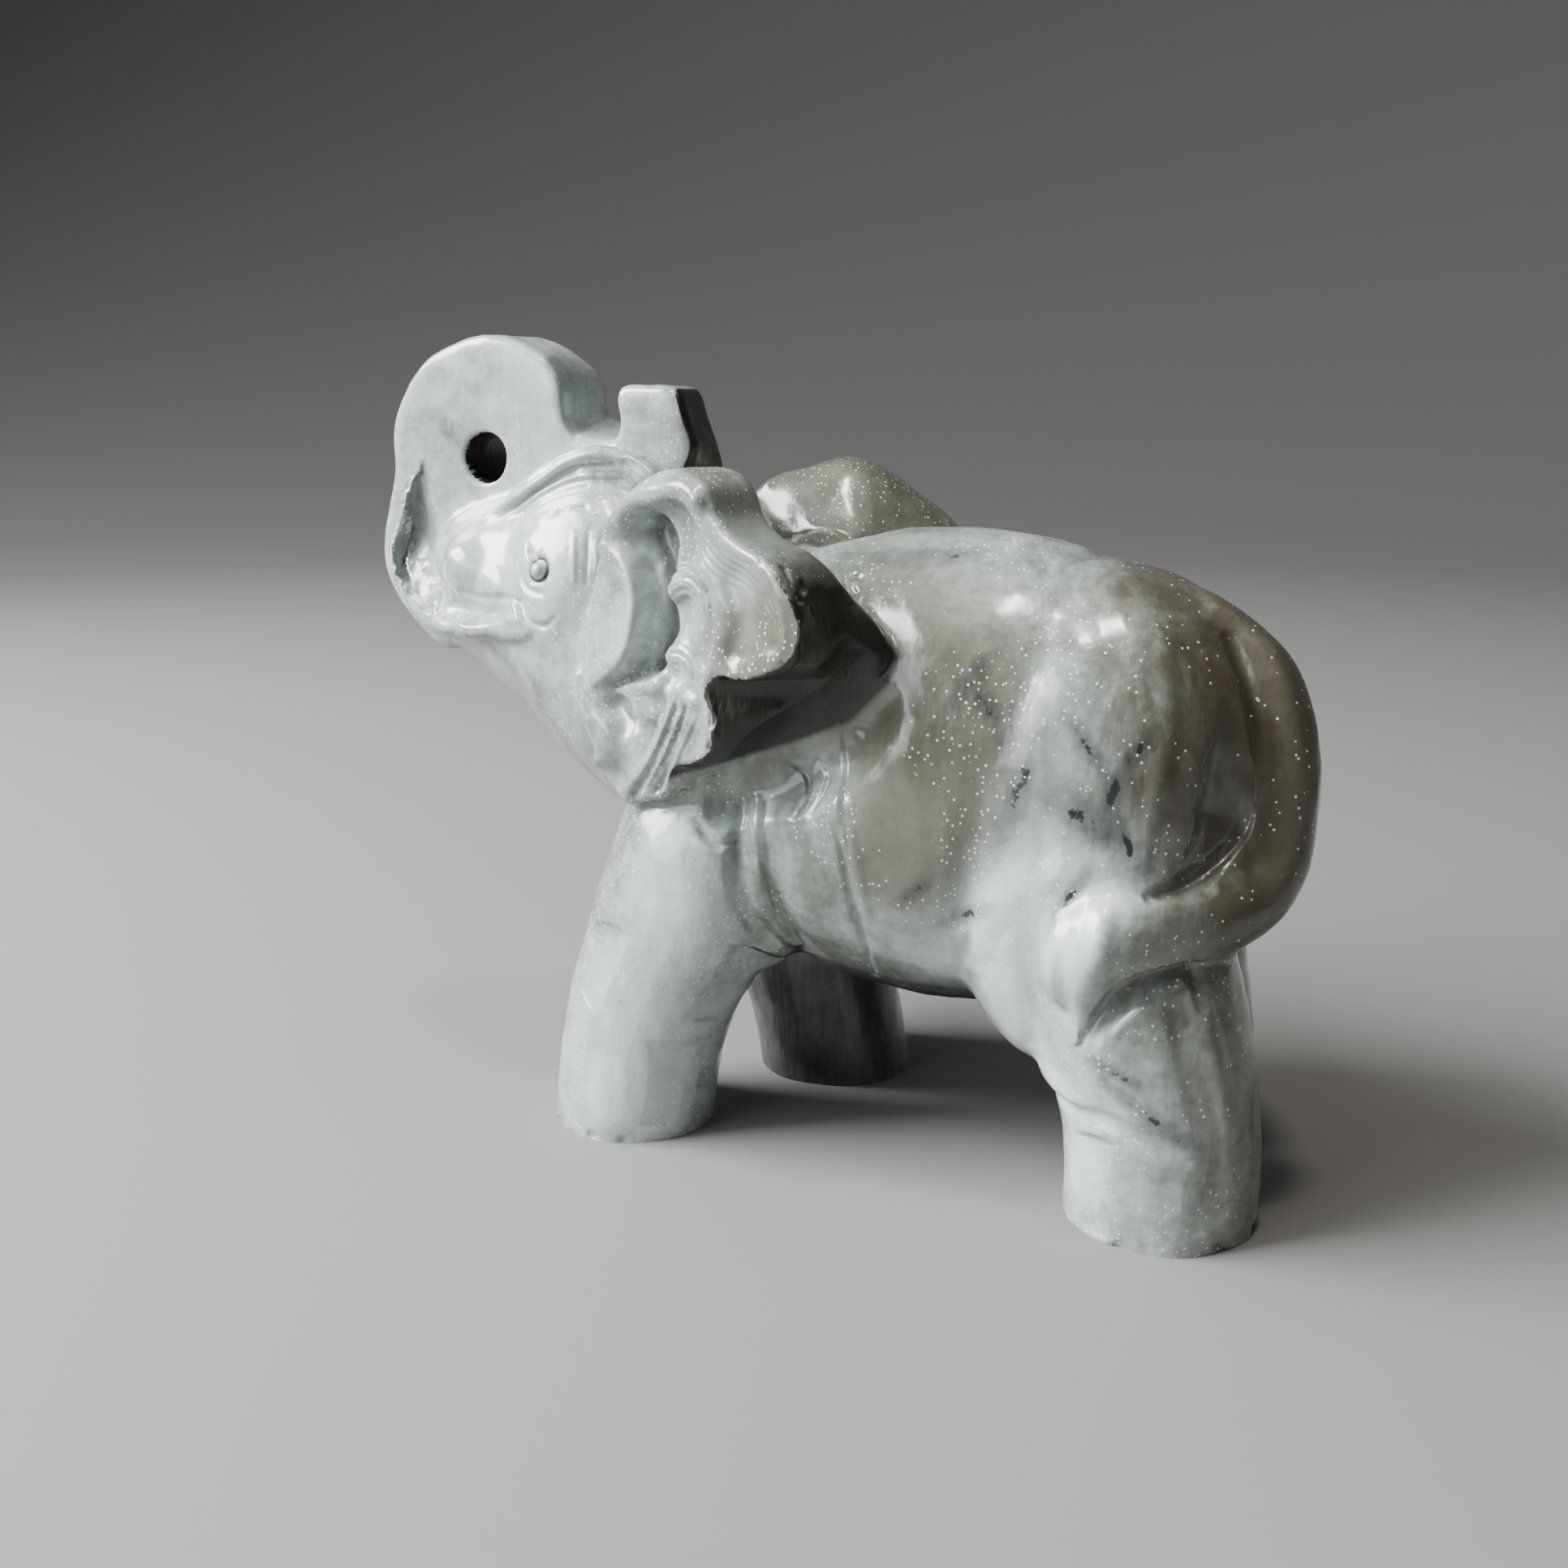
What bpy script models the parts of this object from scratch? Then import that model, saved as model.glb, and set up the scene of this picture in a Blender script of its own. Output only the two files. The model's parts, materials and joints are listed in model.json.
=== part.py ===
"""A walking elephant carved from one lump of stone, with its trunk curled back over the forehead.

The elephant faces -Y and its left side is +X. It stands on z = 0, and the origin is under the middle
of its box. The pose and the carving are laid out in shares of the length: one share, U, makes the
numbers of the shape read as millimetres on the carving at its real size.
"""
import math

import bmesh
import bpy
from mathutils import Matrix, Vector

LENGTH = 0.0774            # lip of the mouth to the back of the tail
TRUNK_THICKNESS = 0.0074   # the raised trunk is a flat slab, sawn parallel to the body
CURL_RADIUS = 0.0097       # rounded end of the slab, about the drilled hole
HOLE_DIAMETER = 0.0040     # drilled through the curl of the trunk
LEG_DIAMETER = 0.0130      # a leg just above its sole
TAIL_DIAMETER = 0.0050     # rope of the tail on the rump
EAR_RIM = 0.0045           # thickness of the ear's free upper rim
EYE_DIAMETER = 0.0018
TRIANGLES = 9300           # left after the surface is thinned

SHARES = 77.4              # the length in shares
U = LENGTH / SHARES
MIDDLE = 7.8               # shares from the drawing's own zero to the middle of the length
GRAIN = 0.55 * U           # grid on which the fused surface is drawn
HOLE = (-35.6, 51.9)       # the drilled hole, as (y, z) in shares
EYE = (10.3, -26.6, 43.9)  # middle of the left eye, in shares
EAR_FRONT = (12.5, -20.0)  # where the ear's face leaves the head, as (x, y) in shares
EAR_SPLAY = 0.40           # how fast the ear's face stands off the body towards the back
EAR_SWEEP = (3.8, 38.4)    # furthest point that the ear's back wall reaches, as (y, z) in shares
EAR_SWEEP_CURVE = 0.13     # how fast the back wall curves forward above and below that point
EAR_FRONT_EDGE = -15.0     # in front of this y the rim runs straight into the head
EAR_FLARE = 1.5            # how far the free rim spreads towards the back
EAR_FREE = (42.0, 48.0)    # the ear is part of the shoulder below, and stands free above
EAR_BED = 12.5             # how far out the back wall meets the shoulder
EAR_ROOT = (6.0, -9.0, 37.5)  # middle of the buried root
EAR_ROOT_SIZE = 0.62       # the root's outline against the rim's


def at(x, y, z):
    """A place on the carving, in shares, as a point in metres."""
    return Vector((x, y + MIDDLE, z)) * U


def clear_scene():
    for thing in list(bpy.data.objects):
        bpy.data.objects.remove(thing, do_unlink=True)


def new_collection(name):
    group = bpy.data.collections.new(name)
    bpy.context.scene.collection.children.link(group)
    return group


def stone():
    """Grey-green mottled stone under a waxy polish."""
    material = bpy.data.materials.new("polished_stone")
    material.use_nodes = True
    shader = material.node_tree.nodes["Principled BSDF"]
    shader.inputs["Base Color"].default_value = (0.30, 0.33, 0.30, 1.0)
    shader.inputs["Roughness"].default_value = 0.28
    shader.inputs["Metallic"].default_value = 0.0
    return material


def add_lump(clay, centre, radii, pitch=0.0, roll=0.0):
    """An ellipsoid, pitched about X and rolled about Y in degrees."""
    turn = Matrix.Rotation(math.radians(pitch), 4, "X") @ Matrix.Rotation(math.radians(roll), 4, "Y")
    size = Matrix.Diagonal([r * U for r in radii]).to_4x4()
    bmesh.ops.create_uvsphere(clay, u_segments=32, v_segments=20, radius=1.0,
                              matrix=Matrix.Translation(at(*centre)) @ turn @ size)


def add_curve(clay, curve):
    """Turns a curve into closed mesh with welded caps and adds it to the clay."""
    drawn = bpy.data.objects.new(curve.name, curve)
    bpy.context.scene.collection.objects.link(drawn)
    ready = drawn.evaluated_get(bpy.context.evaluated_depsgraph_get())
    piece = bmesh.new()
    piece.from_mesh(bpy.data.meshes.new_from_object(ready))
    bmesh.ops.remove_doubles(piece, verts=piece.verts, dist=1e-6)
    bmesh.ops.recalc_face_normals(piece, faces=piece.faces)
    mesh = bpy.data.meshes.new(curve.name)
    piece.to_mesh(mesh)
    piece.free()
    clay.from_mesh(mesh)
    bpy.data.objects.remove(drawn, do_unlink=True)


def add_tube(clay, stations, steps=5):
    """A round limb through stations of (x, y, z, radius), in shares, with rounded ends."""
    curve = bpy.data.curves.new("limb", "CURVE")
    curve.dimensions = "3D"
    curve.bevel_depth = U
    curve.bevel_resolution = 6
    curve.use_fill_caps = True
    spline = curve.splines.new("BEZIER")
    spline.resolution_u = steps
    spline.bezier_points.add(len(stations) - 1)
    for point, (x, y, z, radius) in zip(spline.bezier_points, stations):
        point.co = at(x, y, z)
        point.radius = radius
        point.handle_left_type = point.handle_right_type = "AUTO"
    add_curve(clay, curve)
    for x, y, z, radius in (stations[0], stations[-1]):
        add_lump(clay, (x, y, z), (radius, radius, radius))


def on_side(side, stations):
    """The stations on the left for side 1, and mirrored to the right for side -1."""
    return [(x * side, *rest) for x, *rest in stations]


def smooth_outline(corners, steps=5):
    """Points of a closed smooth curve through the corners."""
    count = len(corners)
    points = []
    for i in range(count):
        a, b, c, d = (Vector(corners[(i + k) % count]) for k in (-1, 0, 1, 2))
        for s in range(steps):
            t = s / steps
            points.append(0.5 * ((2 * b) + (c - a) * t + (2 * a - 5 * b + 4 * c - d) * t ** 2
                                 + (3 * b - a - 3 * c + d) * t ** 3))
    return points


def trunk_outline():
    """Side view of the slab as (y, z): chin, curl about the hole, valley, upturned tip, forehead."""
    reach = CURL_RADIUS / U
    chin = [(-40.4, 35.9), (-44.2, 38.3), (-46.4, 41.8), (-46.6, 45.4)]
    curl = [(HOLE[0] + reach * math.cos(math.radians(a)), HOLE[1] + reach * math.sin(math.radians(a)))
            for a in range(188, 40, -21)]
    valley = [(-27.8, 55.4), (-25.8, 54.7), (-24.0, 54.8)]
    tip = [(-23.0, 56.0), (-22.4, 57.3), (-21.2, 57.7), (-19.3, 57.2), (-18.4, 55.0), (-17.2, 51.0)]
    buried = [(-18.5, 45.0), (-26.0, 40.0), (-36.0, 37.0)]
    return chin + curl + valley + tip + buried


def add_trunk(clay):
    """The slab of the trunk, with its rims rounded."""
    curve = bpy.data.curves.new("slab", "CURVE")
    curve.dimensions = "2D"
    curve.fill_mode = "BOTH"
    rim = 0.9 * U
    curve.extrude = TRUNK_THICKNESS / 2 - rim
    curve.bevel_depth = rim
    curve.bevel_resolution = 2
    curve.offset = -rim
    outline = smooth_outline(trunk_outline())
    spline = curve.splines.new("POLY")
    spline.points.add(len(outline) - 1)
    spline.use_cyclic_u = True
    for point, (y, z) in zip(spline.points, outline):
        point.co = (*at(0, y, z).yz, 0.0, 1.0)
    flat = bmesh.new()
    add_curve(flat, curve)
    stand = Matrix(((0, 0, 1, 0), (1, 0, 0, 0), (0, 1, 0, 0), (0, 0, 0, 1)))
    bmesh.ops.transform(flat, matrix=stand, verts=flat.verts)
    mesh = bpy.data.meshes.new("slab")
    flat.to_mesh(mesh)
    flat.free()
    clay.from_mesh(mesh)


def add_body(clay):
    add_lump(clay, (0, 4.0, 29.3), (14.9, 24.5, 18.0))
    add_lump(clay, (0, 14.6, 29.0), (14.2, 14.8, 16.4))
    add_lump(clay, (0, -9.0, 30.0), (12.8, 13.5, 15.4))
    for side in (1, -1):
        add_lump(clay, (6.8 * side, 15.8, 23.5), (7.7, 9.0, 14.0), pitch=-6)
        add_lump(clay, (7.0 * side, -11.5, 25.0), (6.8, 7.8, 12.0), pitch=12)


def add_legs(clay):
    foot = LEG_DIAMETER / 2 / U
    legs = (
        [(8.8, -20.0, -3.0, foot), (8.8, -18.7, 7.0, foot),
         (8.6, -16.8, 13.0, 6.8), (7.6, -12.6, 22.0, 8.0)],
        [(-8.2, -8.6, -3.0, foot), (-8.2, -10.4, 6.0, foot),
         (-8.2, -12.2, 13.0, 6.9), (-8.0, -12.5, 22.0, 8.2)],
        [(8.0, 22.9, -3.0, foot * 1.04), (8.1, 22.6, 7.0, foot * 1.06),
         (7.8, 20.6, 15.0, 7.4), (6.8, 17.0, 24.0, 8.2)],
        [(-8.0, 19.6, -3.0, foot * 1.04), (-8.1, 19.6, 7.0, foot * 1.04),
         (-7.8, 18.0, 15.0, 7.2), (-6.8, 15.5, 24.0, 8.2)],
    )
    for leg in legs:
        add_tube(clay, leg)


def add_head(clay):
    """Neck, dome of the forehead, snout, cheeks and the ridges between them."""
    add_tube(clay, [(0, -9.0, 31.5, 13.6), (0, -18.0, 35.0, 12.3), (0, -25.0, 39.0, 11.3),
                    (0, -31.0, 40.9, 9.6), (0, -37.0, 41.9, 7.4), (0, -41.4, 42.4, 5.0)])
    add_lump(clay, (0, -24.6, 40.8), (11.6, 9.6, 11.4))
    for side in (1, -1):
        add_lump(clay, (6.6 * side, -34.8, 43.2), (2.4, 3.0, 2.6), pitch=-20)
        brow = [(4.8, -33.6, 47.4, 0.7), (5.4, -31.2, 48.9, 1.0), (5.8, -28.4, 50.5, 1.1),
                (5.8, -25.0, 51.9, 1.1), (5.4, -21.6, 51.9, 1.1), (5.6, -18.8, 50.4, 0.9)]
        jaw = [(4.2, -43.2, 40.4, 0.9), (6.0, -39.4, 38.8, 1.2), (8.0, -34.6, 38.7, 1.1),
               (9.4, -31.0, 39.2, 0.9), (10.6, -27.8, 39.6, 0.8), (11.0, -24.4, 40.8, 0.7)]
        for ridge in (brow, jaw):
            add_tube(clay, on_side(side, ridge), steps=4)


def on_ear(y, z, proud=0.0):
    """A place on the left ear's carved face, as (x, y, z) in shares."""
    return (EAR_FRONT[0] + EAR_SPLAY * (y - EAR_FRONT[1]) + proud, y, z)


def ear_outline(scalloped):
    top = [(-20.4, 43.0), (-18.8, 46.8), (-17.2, 49.2), (-14.6, 51.0), (-11.4, 51.8), (-8.6, 50.8)]
    if scalloped:
        rear = [(-7.4, 48.6), (-5.6, 47.2), (-3.2, 46.2), (-1.5, 44.6), (-0.2, 42.2), (-1.0, 39.6),
                (-4.8, 38.0), (-7.4, 37.9), (-8.7, 36.6), (-8.0, 34.8), (-8.2, 32.6), (-9.8, 31.4),
                (-12.0, 30.6), (-13.2, 28.2), (-15.0, 27.6)]
    else:
        rear = [(-6.4, 49.0), (-3.2, 46.4), (-1.0, 42.6), (-1.6, 39.2), (-4.4, 36.6), (-7.0, 33.6),
                (-10.6, 30.4), (-13.8, 28.0)]
    front = [(-16.8, 27.0), (-19.6, 28.6), (-21.4, 31.6), (-22.6, 35.0), (-21.4, 39.0)]
    return top + rear + front


def ear_back(x, y, z):
    """Where the rim's point at (x, y, z) ends on the back of the ear: thin above, swept back below."""
    inner = x - EAR_RIM / U
    sink = min(max((EAR_FREE[1] - z) / (EAR_FREE[1] - EAR_FREE[0]), 0.0), 1.0)
    swept = EAR_SWEEP[0] - EAR_SWEEP_CURVE * (z - EAR_SWEEP[1]) ** 2
    behind = max(y + EAR_FLARE, swept) if y > EAR_FRONT_EDGE else y
    return inner + (min(inner, EAR_BED) - inner) * sink, behind, z


def ear_root(x, y, z):
    """Where the back's point at (x, y, z) ends inside the neck."""
    return (EAR_ROOT[0], EAR_ROOT[1] + (y - EAR_ROOT[1]) * EAR_ROOT_SIZE,
            EAR_ROOT[2] + (z - EAR_ROOT[2]) * EAR_ROOT_SIZE)


def add_ear(clay, side, scalloped):
    """A thick flap: carved face, rim, and a back that slopes into the neck and shoulder."""
    flap = bmesh.new()
    outline = smooth_outline(ear_outline(scalloped), steps=4)
    face = flap.faces.new([flap.verts.new(on_ear(y, z)) for y, z in outline])
    for place in (ear_back, ear_root):
        grown = bmesh.ops.extrude_face_region(flap, geom=[face])["geom"]
        face = next(g for g in grown if isinstance(g, bmesh.types.BMFace))
        for vert in face.verts:
            vert.co = place(*vert.co)
    bmesh.ops.holes_fill(flap, edges=flap.edges)
    for vert in flap.verts:
        x, y, z = vert.co
        vert.co = at(x * side, y, z)
    bmesh.ops.recalc_face_normals(flap, faces=flap.faces)
    bmesh.ops.triangulate(flap, faces=flap.faces)
    mesh = bpy.data.meshes.new("ear")
    flap.to_mesh(mesh)
    flap.free()
    clay.from_mesh(mesh)


def ear_ridges(scalloped):
    """Folds that stand on the ear's face, as lines of (y, z, radius)."""
    folds = [
        [(-18.2, 47.6, 1.0), (-15.9, 44.8, 1.0), (-15.6, 42.0, 1.0), (-16.2, 39.8, 1.0), (-17.6, 38.0, 1.1),
         (-20.6, 36.8, 1.3), (-22.0, 35.0, 1.2), (-21.4, 32.8, 0.9)],
        [(-17.2, 48.9, 0.8), (-14.6, 50.4, 0.9), (-11.2, 51.0, 0.9), (-8.8, 50.2, 0.8), (-7.6, 48.4, 0.8)],
        [(-11.6, 44.6, 0.8), (-9.4, 44.4, 0.9), (-8.2, 42.6, 0.9), (-8.4, 39.8, 0.8), (-9.4, 37.0, 0.8)],
    ]
    if scalloped:
        for end in ((-19.4, 29.8), (-17.0, 28.2), (-14.4, 29.0), (-11.6, 31.8)):
            folds.append([(-12.6, 37.6, 0.6), ((end[0] - 12.6) / 2 + 0.4, (end[1] + 37.6) / 2 + 0.6, 0.7),
                          (*end, 0.6)])
    return folds


def add_tail(clay):
    rope = TAIL_DIAMETER / 2 / U
    add_tube(clay, [(0.3, 18.6, 42.2, rope * 0.7), (0.7, 22.2, 41.2, rope * 0.9), (1.2, 25.4, 38.8, rope),
                    (1.9, 27.6, 35.8, rope), (2.5, 28.5, 32.0, rope), (3.1, 28.6, 28.4, rope * 1.04),
                    (4.2, 28.2, 25.2, rope * 1.08), (6.4, 26.9, 23.2, rope * 1.12),
                    (9.4, 24.6, 22.4, rope * 1.16), (12.4, 21.6, 22.2, rope * 1.24),
                    (14.0, 19.0, 21.6, rope * 1.28),
                    (14.3, 17.7, 19.4, rope * 1.05), (14.0, 18.0, 16.4, rope * 0.4)])


def make_clay():
    clay = bmesh.new()
    add_body(clay)
    add_legs(clay)
    add_head(clay)
    add_trunk(clay)
    add_tail(clay)
    for side, scalloped in ((1, True), (-1, False)):
        add_ear(clay, side, scalloped)
        for fold in ear_ridges(scalloped):
            add_tube(clay, on_side(side, [(*on_ear(y, z), radius) for y, z, radius in fold]), steps=4)
    return clay


def make_gouges():
    """What is ground away: mouth corners, ear hollows, eye sockets, coves behind the ears, tail groove."""
    tool = bmesh.new()
    mouth = [(4.6, -42.6, 49.6, 0.8), (5.0, -42.8, 47.6, 1.5), (5.2, -42.6, 45.0, 2.1),
             (5.8, -41.6, 42.4, 1.9), (6.8, -39.4, 40.8, 1.3)]
    ear = [(*on_ear(-14.2, 46.4, 1.2), 2.0), (*on_ear(-13.4, 43.6, 1.0), 1.8),
           (*on_ear(-13.0, 41.0, 0.8), 1.5), (*on_ear(-14.8, 38.2, 0.8), 1.4),
           (*on_ear(-17.6, 36.2, 1.0), 1.3)]
    cove = [(16.8, 3.4, 41.8, 2.0), (16.6, 3.6, 38.4, 3.4), (16.2, 0.8, 34.4, 3.9),
            (15.4, -3.6, 31.0, 3.6), (14.6, -8.4, 28.0, 2.6)]
    groove = [(6.8, 25.6, 40.4, 1.6), (8.6, 27.4, 36.8, 2.8), (9.8, 28.0, 32.8, 3.6),
              (10.4, 27.4, 29.0, 3.6), (11.4, 25.8, 26.8, 2.4), (13.4, 23.6, 25.6, 1.2)]
    for side in (1, -1):
        for line in (mouth, ear, cove):
            add_tube(tool, on_side(side, line), steps=4)
        socket = EYE_DIAMETER / U
        add_lump(tool, ((EYE[0] + 0.8) * side, EYE[1] + 0.3, EYE[2] + 0.1), (socket, socket, socket * 1.15))
    add_tube(tool, groove, steps=4)
    return tool


def new_object(name, shape, group):
    mesh = bpy.data.meshes.new(name)
    shape.to_mesh(mesh)
    shape.free()
    thing = bpy.data.objects.new(name, mesh)
    group.objects.link(thing)
    return thing


def make_eyes():
    """Small balls that stand in their sockets."""
    balls = bmesh.new()
    for side in (1, -1):
        bmesh.ops.create_uvsphere(balls, u_segments=16, v_segments=10, radius=EYE_DIAMETER / 2,
                                  matrix=Matrix.Translation(at(EYE[0] * side, *EYE[1:])))
    return balls


def hide_tool(tool):
    tool.hide_render = True
    tool.display_type = "WIRE"
    return tool


def fuse(thing, grain, rounds):
    """Draws overlapping lumps as one skin and smooths it."""
    skin = thing.modifiers.new("fuse", "REMESH")
    skin.mode = "VOXEL"
    skin.voxel_size = grain
    skin.use_smooth_shade = True
    soften = thing.modifiers.new("soften", "SMOOTH")
    soften.factor = 0.5
    soften.iterations = rounds


def carve(thing, tool, operation="DIFFERENCE"):
    boolean = thing.modifiers.new(tool.name, "BOOLEAN")
    boolean.operation = operation
    boolean.solver = "EXACT"
    boolean.object = tool


def triangle_count(thing):
    ready = thing.evaluated_get(bpy.context.evaluated_depsgraph_get())
    mesh = ready.to_mesh()
    mesh.calc_loop_triangles()
    count = len(mesh.loop_triangles)
    ready.to_mesh_clear()
    return count


def thin(thing, triangles):
    whole = triangle_count(thing)
    fewer = thing.modifiers.new("thin", "DECIMATE")
    fewer.ratio = min(1.0, triangles / whole)


def ground_block(group):
    """Everything below z = 0 is cut away, which leaves four flat soles."""
    block = bmesh.new()
    bmesh.ops.create_cube(block, size=2 * LENGTH, matrix=Matrix.Translation((0, 0, -LENGTH)))
    return hide_tool(new_object("ground_block", block, group))


def drill(group):
    bit = bmesh.new()
    turn = Matrix.Translation(at(0, *HOLE)) @ Matrix.Rotation(math.radians(90), 4, "Y")
    bmesh.ops.create_cone(bit, cap_ends=True, segments=28, radius1=HOLE_DIAMETER / 2,
                          radius2=HOLE_DIAMETER / 2, depth=3 * TRUNK_THICKNESS, matrix=turn)
    return hide_tool(new_object("drill", bit, group))


def main():
    clear_scene()
    carving = new_collection("elephant_carving")
    tools = new_collection("carving_tools")
    elephant = new_object("elephant", make_clay(), carving)
    gouges = hide_tool(new_object("gouges", make_gouges(), tools))
    fuse(gouges, GRAIN, 1)
    fuse(elephant, GRAIN, 4)
    carve(elephant, gouges)
    fuse(elephant, GRAIN, 2)
    thin(elephant, TRIANGLES)
    carve(elephant, hide_tool(new_object("eyes", make_eyes(), tools)), "UNION")
    carve(elephant, ground_block(tools))
    carve(elephant, drill(tools))
    elephant.data.materials.append(stone())


main()
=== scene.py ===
import json
import math

import bpy
import numpy as np
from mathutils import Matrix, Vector

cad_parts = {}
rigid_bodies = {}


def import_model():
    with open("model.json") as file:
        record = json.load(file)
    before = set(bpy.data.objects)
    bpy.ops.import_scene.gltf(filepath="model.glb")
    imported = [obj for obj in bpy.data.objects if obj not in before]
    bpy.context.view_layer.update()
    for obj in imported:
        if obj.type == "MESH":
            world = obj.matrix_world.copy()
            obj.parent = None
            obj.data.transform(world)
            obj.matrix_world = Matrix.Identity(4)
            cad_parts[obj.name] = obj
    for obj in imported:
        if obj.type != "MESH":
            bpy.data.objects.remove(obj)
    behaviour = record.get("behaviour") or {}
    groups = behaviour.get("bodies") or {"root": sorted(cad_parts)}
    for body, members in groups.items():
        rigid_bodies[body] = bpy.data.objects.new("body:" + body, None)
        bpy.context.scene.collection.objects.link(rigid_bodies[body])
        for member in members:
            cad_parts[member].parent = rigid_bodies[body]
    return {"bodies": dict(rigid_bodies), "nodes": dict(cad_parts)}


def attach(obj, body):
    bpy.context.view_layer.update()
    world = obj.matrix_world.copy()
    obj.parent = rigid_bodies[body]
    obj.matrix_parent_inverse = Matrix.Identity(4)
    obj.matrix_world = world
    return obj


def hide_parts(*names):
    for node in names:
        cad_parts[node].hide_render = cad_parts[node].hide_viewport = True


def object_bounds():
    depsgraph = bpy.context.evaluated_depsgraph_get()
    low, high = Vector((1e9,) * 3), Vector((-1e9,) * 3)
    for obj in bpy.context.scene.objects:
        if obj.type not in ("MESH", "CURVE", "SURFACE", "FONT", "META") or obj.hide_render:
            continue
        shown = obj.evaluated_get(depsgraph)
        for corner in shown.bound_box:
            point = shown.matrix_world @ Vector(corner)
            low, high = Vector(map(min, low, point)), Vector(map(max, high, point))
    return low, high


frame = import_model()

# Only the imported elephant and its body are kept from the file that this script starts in.
for thing in list(bpy.data.objects):
    if thing not in [*frame["nodes"].values(), *frame["bodies"].values()]:
        bpy.data.objects.remove(thing, do_unlink=True)

cadLow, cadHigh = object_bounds()
mm = 0.001
middle = 7.8  # from the carver's drawing to the middle of the length, in mm


def place(x, y, z):
    return Vector((x, y + middle, z)) * mm


def setMode(mode):
    bpy.ops.object.mode_set(mode=mode)


def deselectAll():
    if bpy.context.object and bpy.context.object.mode != "OBJECT":
        setMode("OBJECT")
    bpy.ops.object.select_all(action="DESELECT")


def pick(*things):
    deselectAll()
    for thing in things:
        thing.select_set(True)
    bpy.context.view_layer.objects.active = things[0]
    return things[0]


def joinAll(name, things):
    whole = pick(*things)
    bpy.ops.object.join()
    whole.name = name
    return whole


def applyModifier(thing, kind, **settings):
    pick(thing)
    bpy.ops.object.modifier_add(type=kind)
    modifier = thing.modifiers[-1]
    for setting, value in settings.items():
        setattr(modifier, setting, value)
    bpy.ops.object.modifier_apply(modifier=modifier.name)


def weld(thing):
    pick(thing)
    setMode("EDIT")
    bpy.ops.mesh.select_all(action="SELECT")
    bpy.ops.mesh.remove_doubles(threshold=1e-6)
    bpy.ops.mesh.normals_make_consistent(inside=False)
    setMode("OBJECT")


def addLump(centre, radii, pitch=0):
    deselectAll()
    bpy.ops.mesh.primitive_uv_sphere_add(segments=64, ring_count=40, radius=mm, location=place(*centre),
                                         rotation=(math.radians(pitch), 0, 0))
    lump = bpy.context.object
    lump.scale = radii
    bpy.ops.object.transform_apply(location=True, rotation=True, scale=True)
    return lump


# A round limb through stations of x, y, z and radius, with a ball at each end.
def addLimb(stations, steps=8):
    deselectAll()
    bpy.ops.curve.primitive_bezier_curve_add()
    limb = bpy.context.object
    curve = limb.data
    curve.dimensions = "3D"
    curve.bevel_depth = mm
    curve.bevel_resolution = 8
    curve.use_fill_caps = True
    spline = curve.splines[0]
    spline.resolution_u = steps
    spline.bezier_points.add(len(stations) - 2)
    for point, (x, y, z, radius) in zip(spline.bezier_points, stations):
        point.co = place(x, y, z)
        point.radius = radius
        point.handle_left_type = point.handle_right_type = "AUTO"
    bpy.ops.object.convert(target="MESH")
    weld(limb)
    ends = [addLump((x, y, z), (radius,) * 3) for x, y, z, radius in (stations[0], stations[-1])]
    return joinAll("limb", [limb, *ends])


def onSide(side, stations):
    return [(x * side, *rest) for x, *rest in stations]


# A closed smooth line through corners, with steps points for each.
def smoothLoop(corners, steps):
    corners = np.array(corners, float)
    t = (np.arange(steps) / steps)[:, None, None]
    a, b, c, d = (np.roll(corners, -k, axis=0)[None] for k in (-1, 0, 1, 2))
    loop = 0.5 * (2 * b + (c - a) * t + (2 * a - 5 * b + 4 * c - d) * t ** 2
                  + (3 * b - a - 3 * c + d) * t ** 3)
    return loop.transpose(1, 0, 2).reshape(-1, corners.shape[1])


torso = {
    "lumps": [((0, 4, 29.3), (14.9, 24.5, 18), 0), ((0, 14.6, 29), (14.2, 14.8, 16.4), 0), ((0, -9, 30),
        (12.8, 13.5, 15.4), 0)],
    "haunch": ((6.8, 15.8, 23.5), (7.7, 9, 14), -6),
    "shoulder": ((7, -11.5, 25), (6.8, 7.8, 12), 12),
}
legs = {
    "leftFront": [(8.8, -20, -3, 6.5), (8.8, -18.7, 7, 6.5), (8.6, -16.8, 13, 6.8), (7.6, -12.6, 22, 8)],
    "rightFront": [(-8.2, -8.6, -3, 6.5), (-8.2, -10.4, 6, 6.5), (-8.2, -12.2, 13, 6.9),
        (-8, -12.5, 22, 8.2)],
    "leftHind": [(8, 22.9, -3, 6.76), (8.1, 22.6, 7, 6.89), (7.8, 20.6, 15, 7.4), (6.8, 17, 24, 8.2)],
    "rightHind": [(-8, 19.6, -3, 6.76), (-8.1, 19.6, 7, 6.76), (-7.8, 18, 15, 7.2),
        (-6.8, 15.5, 24, 8.2)],
}
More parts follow.
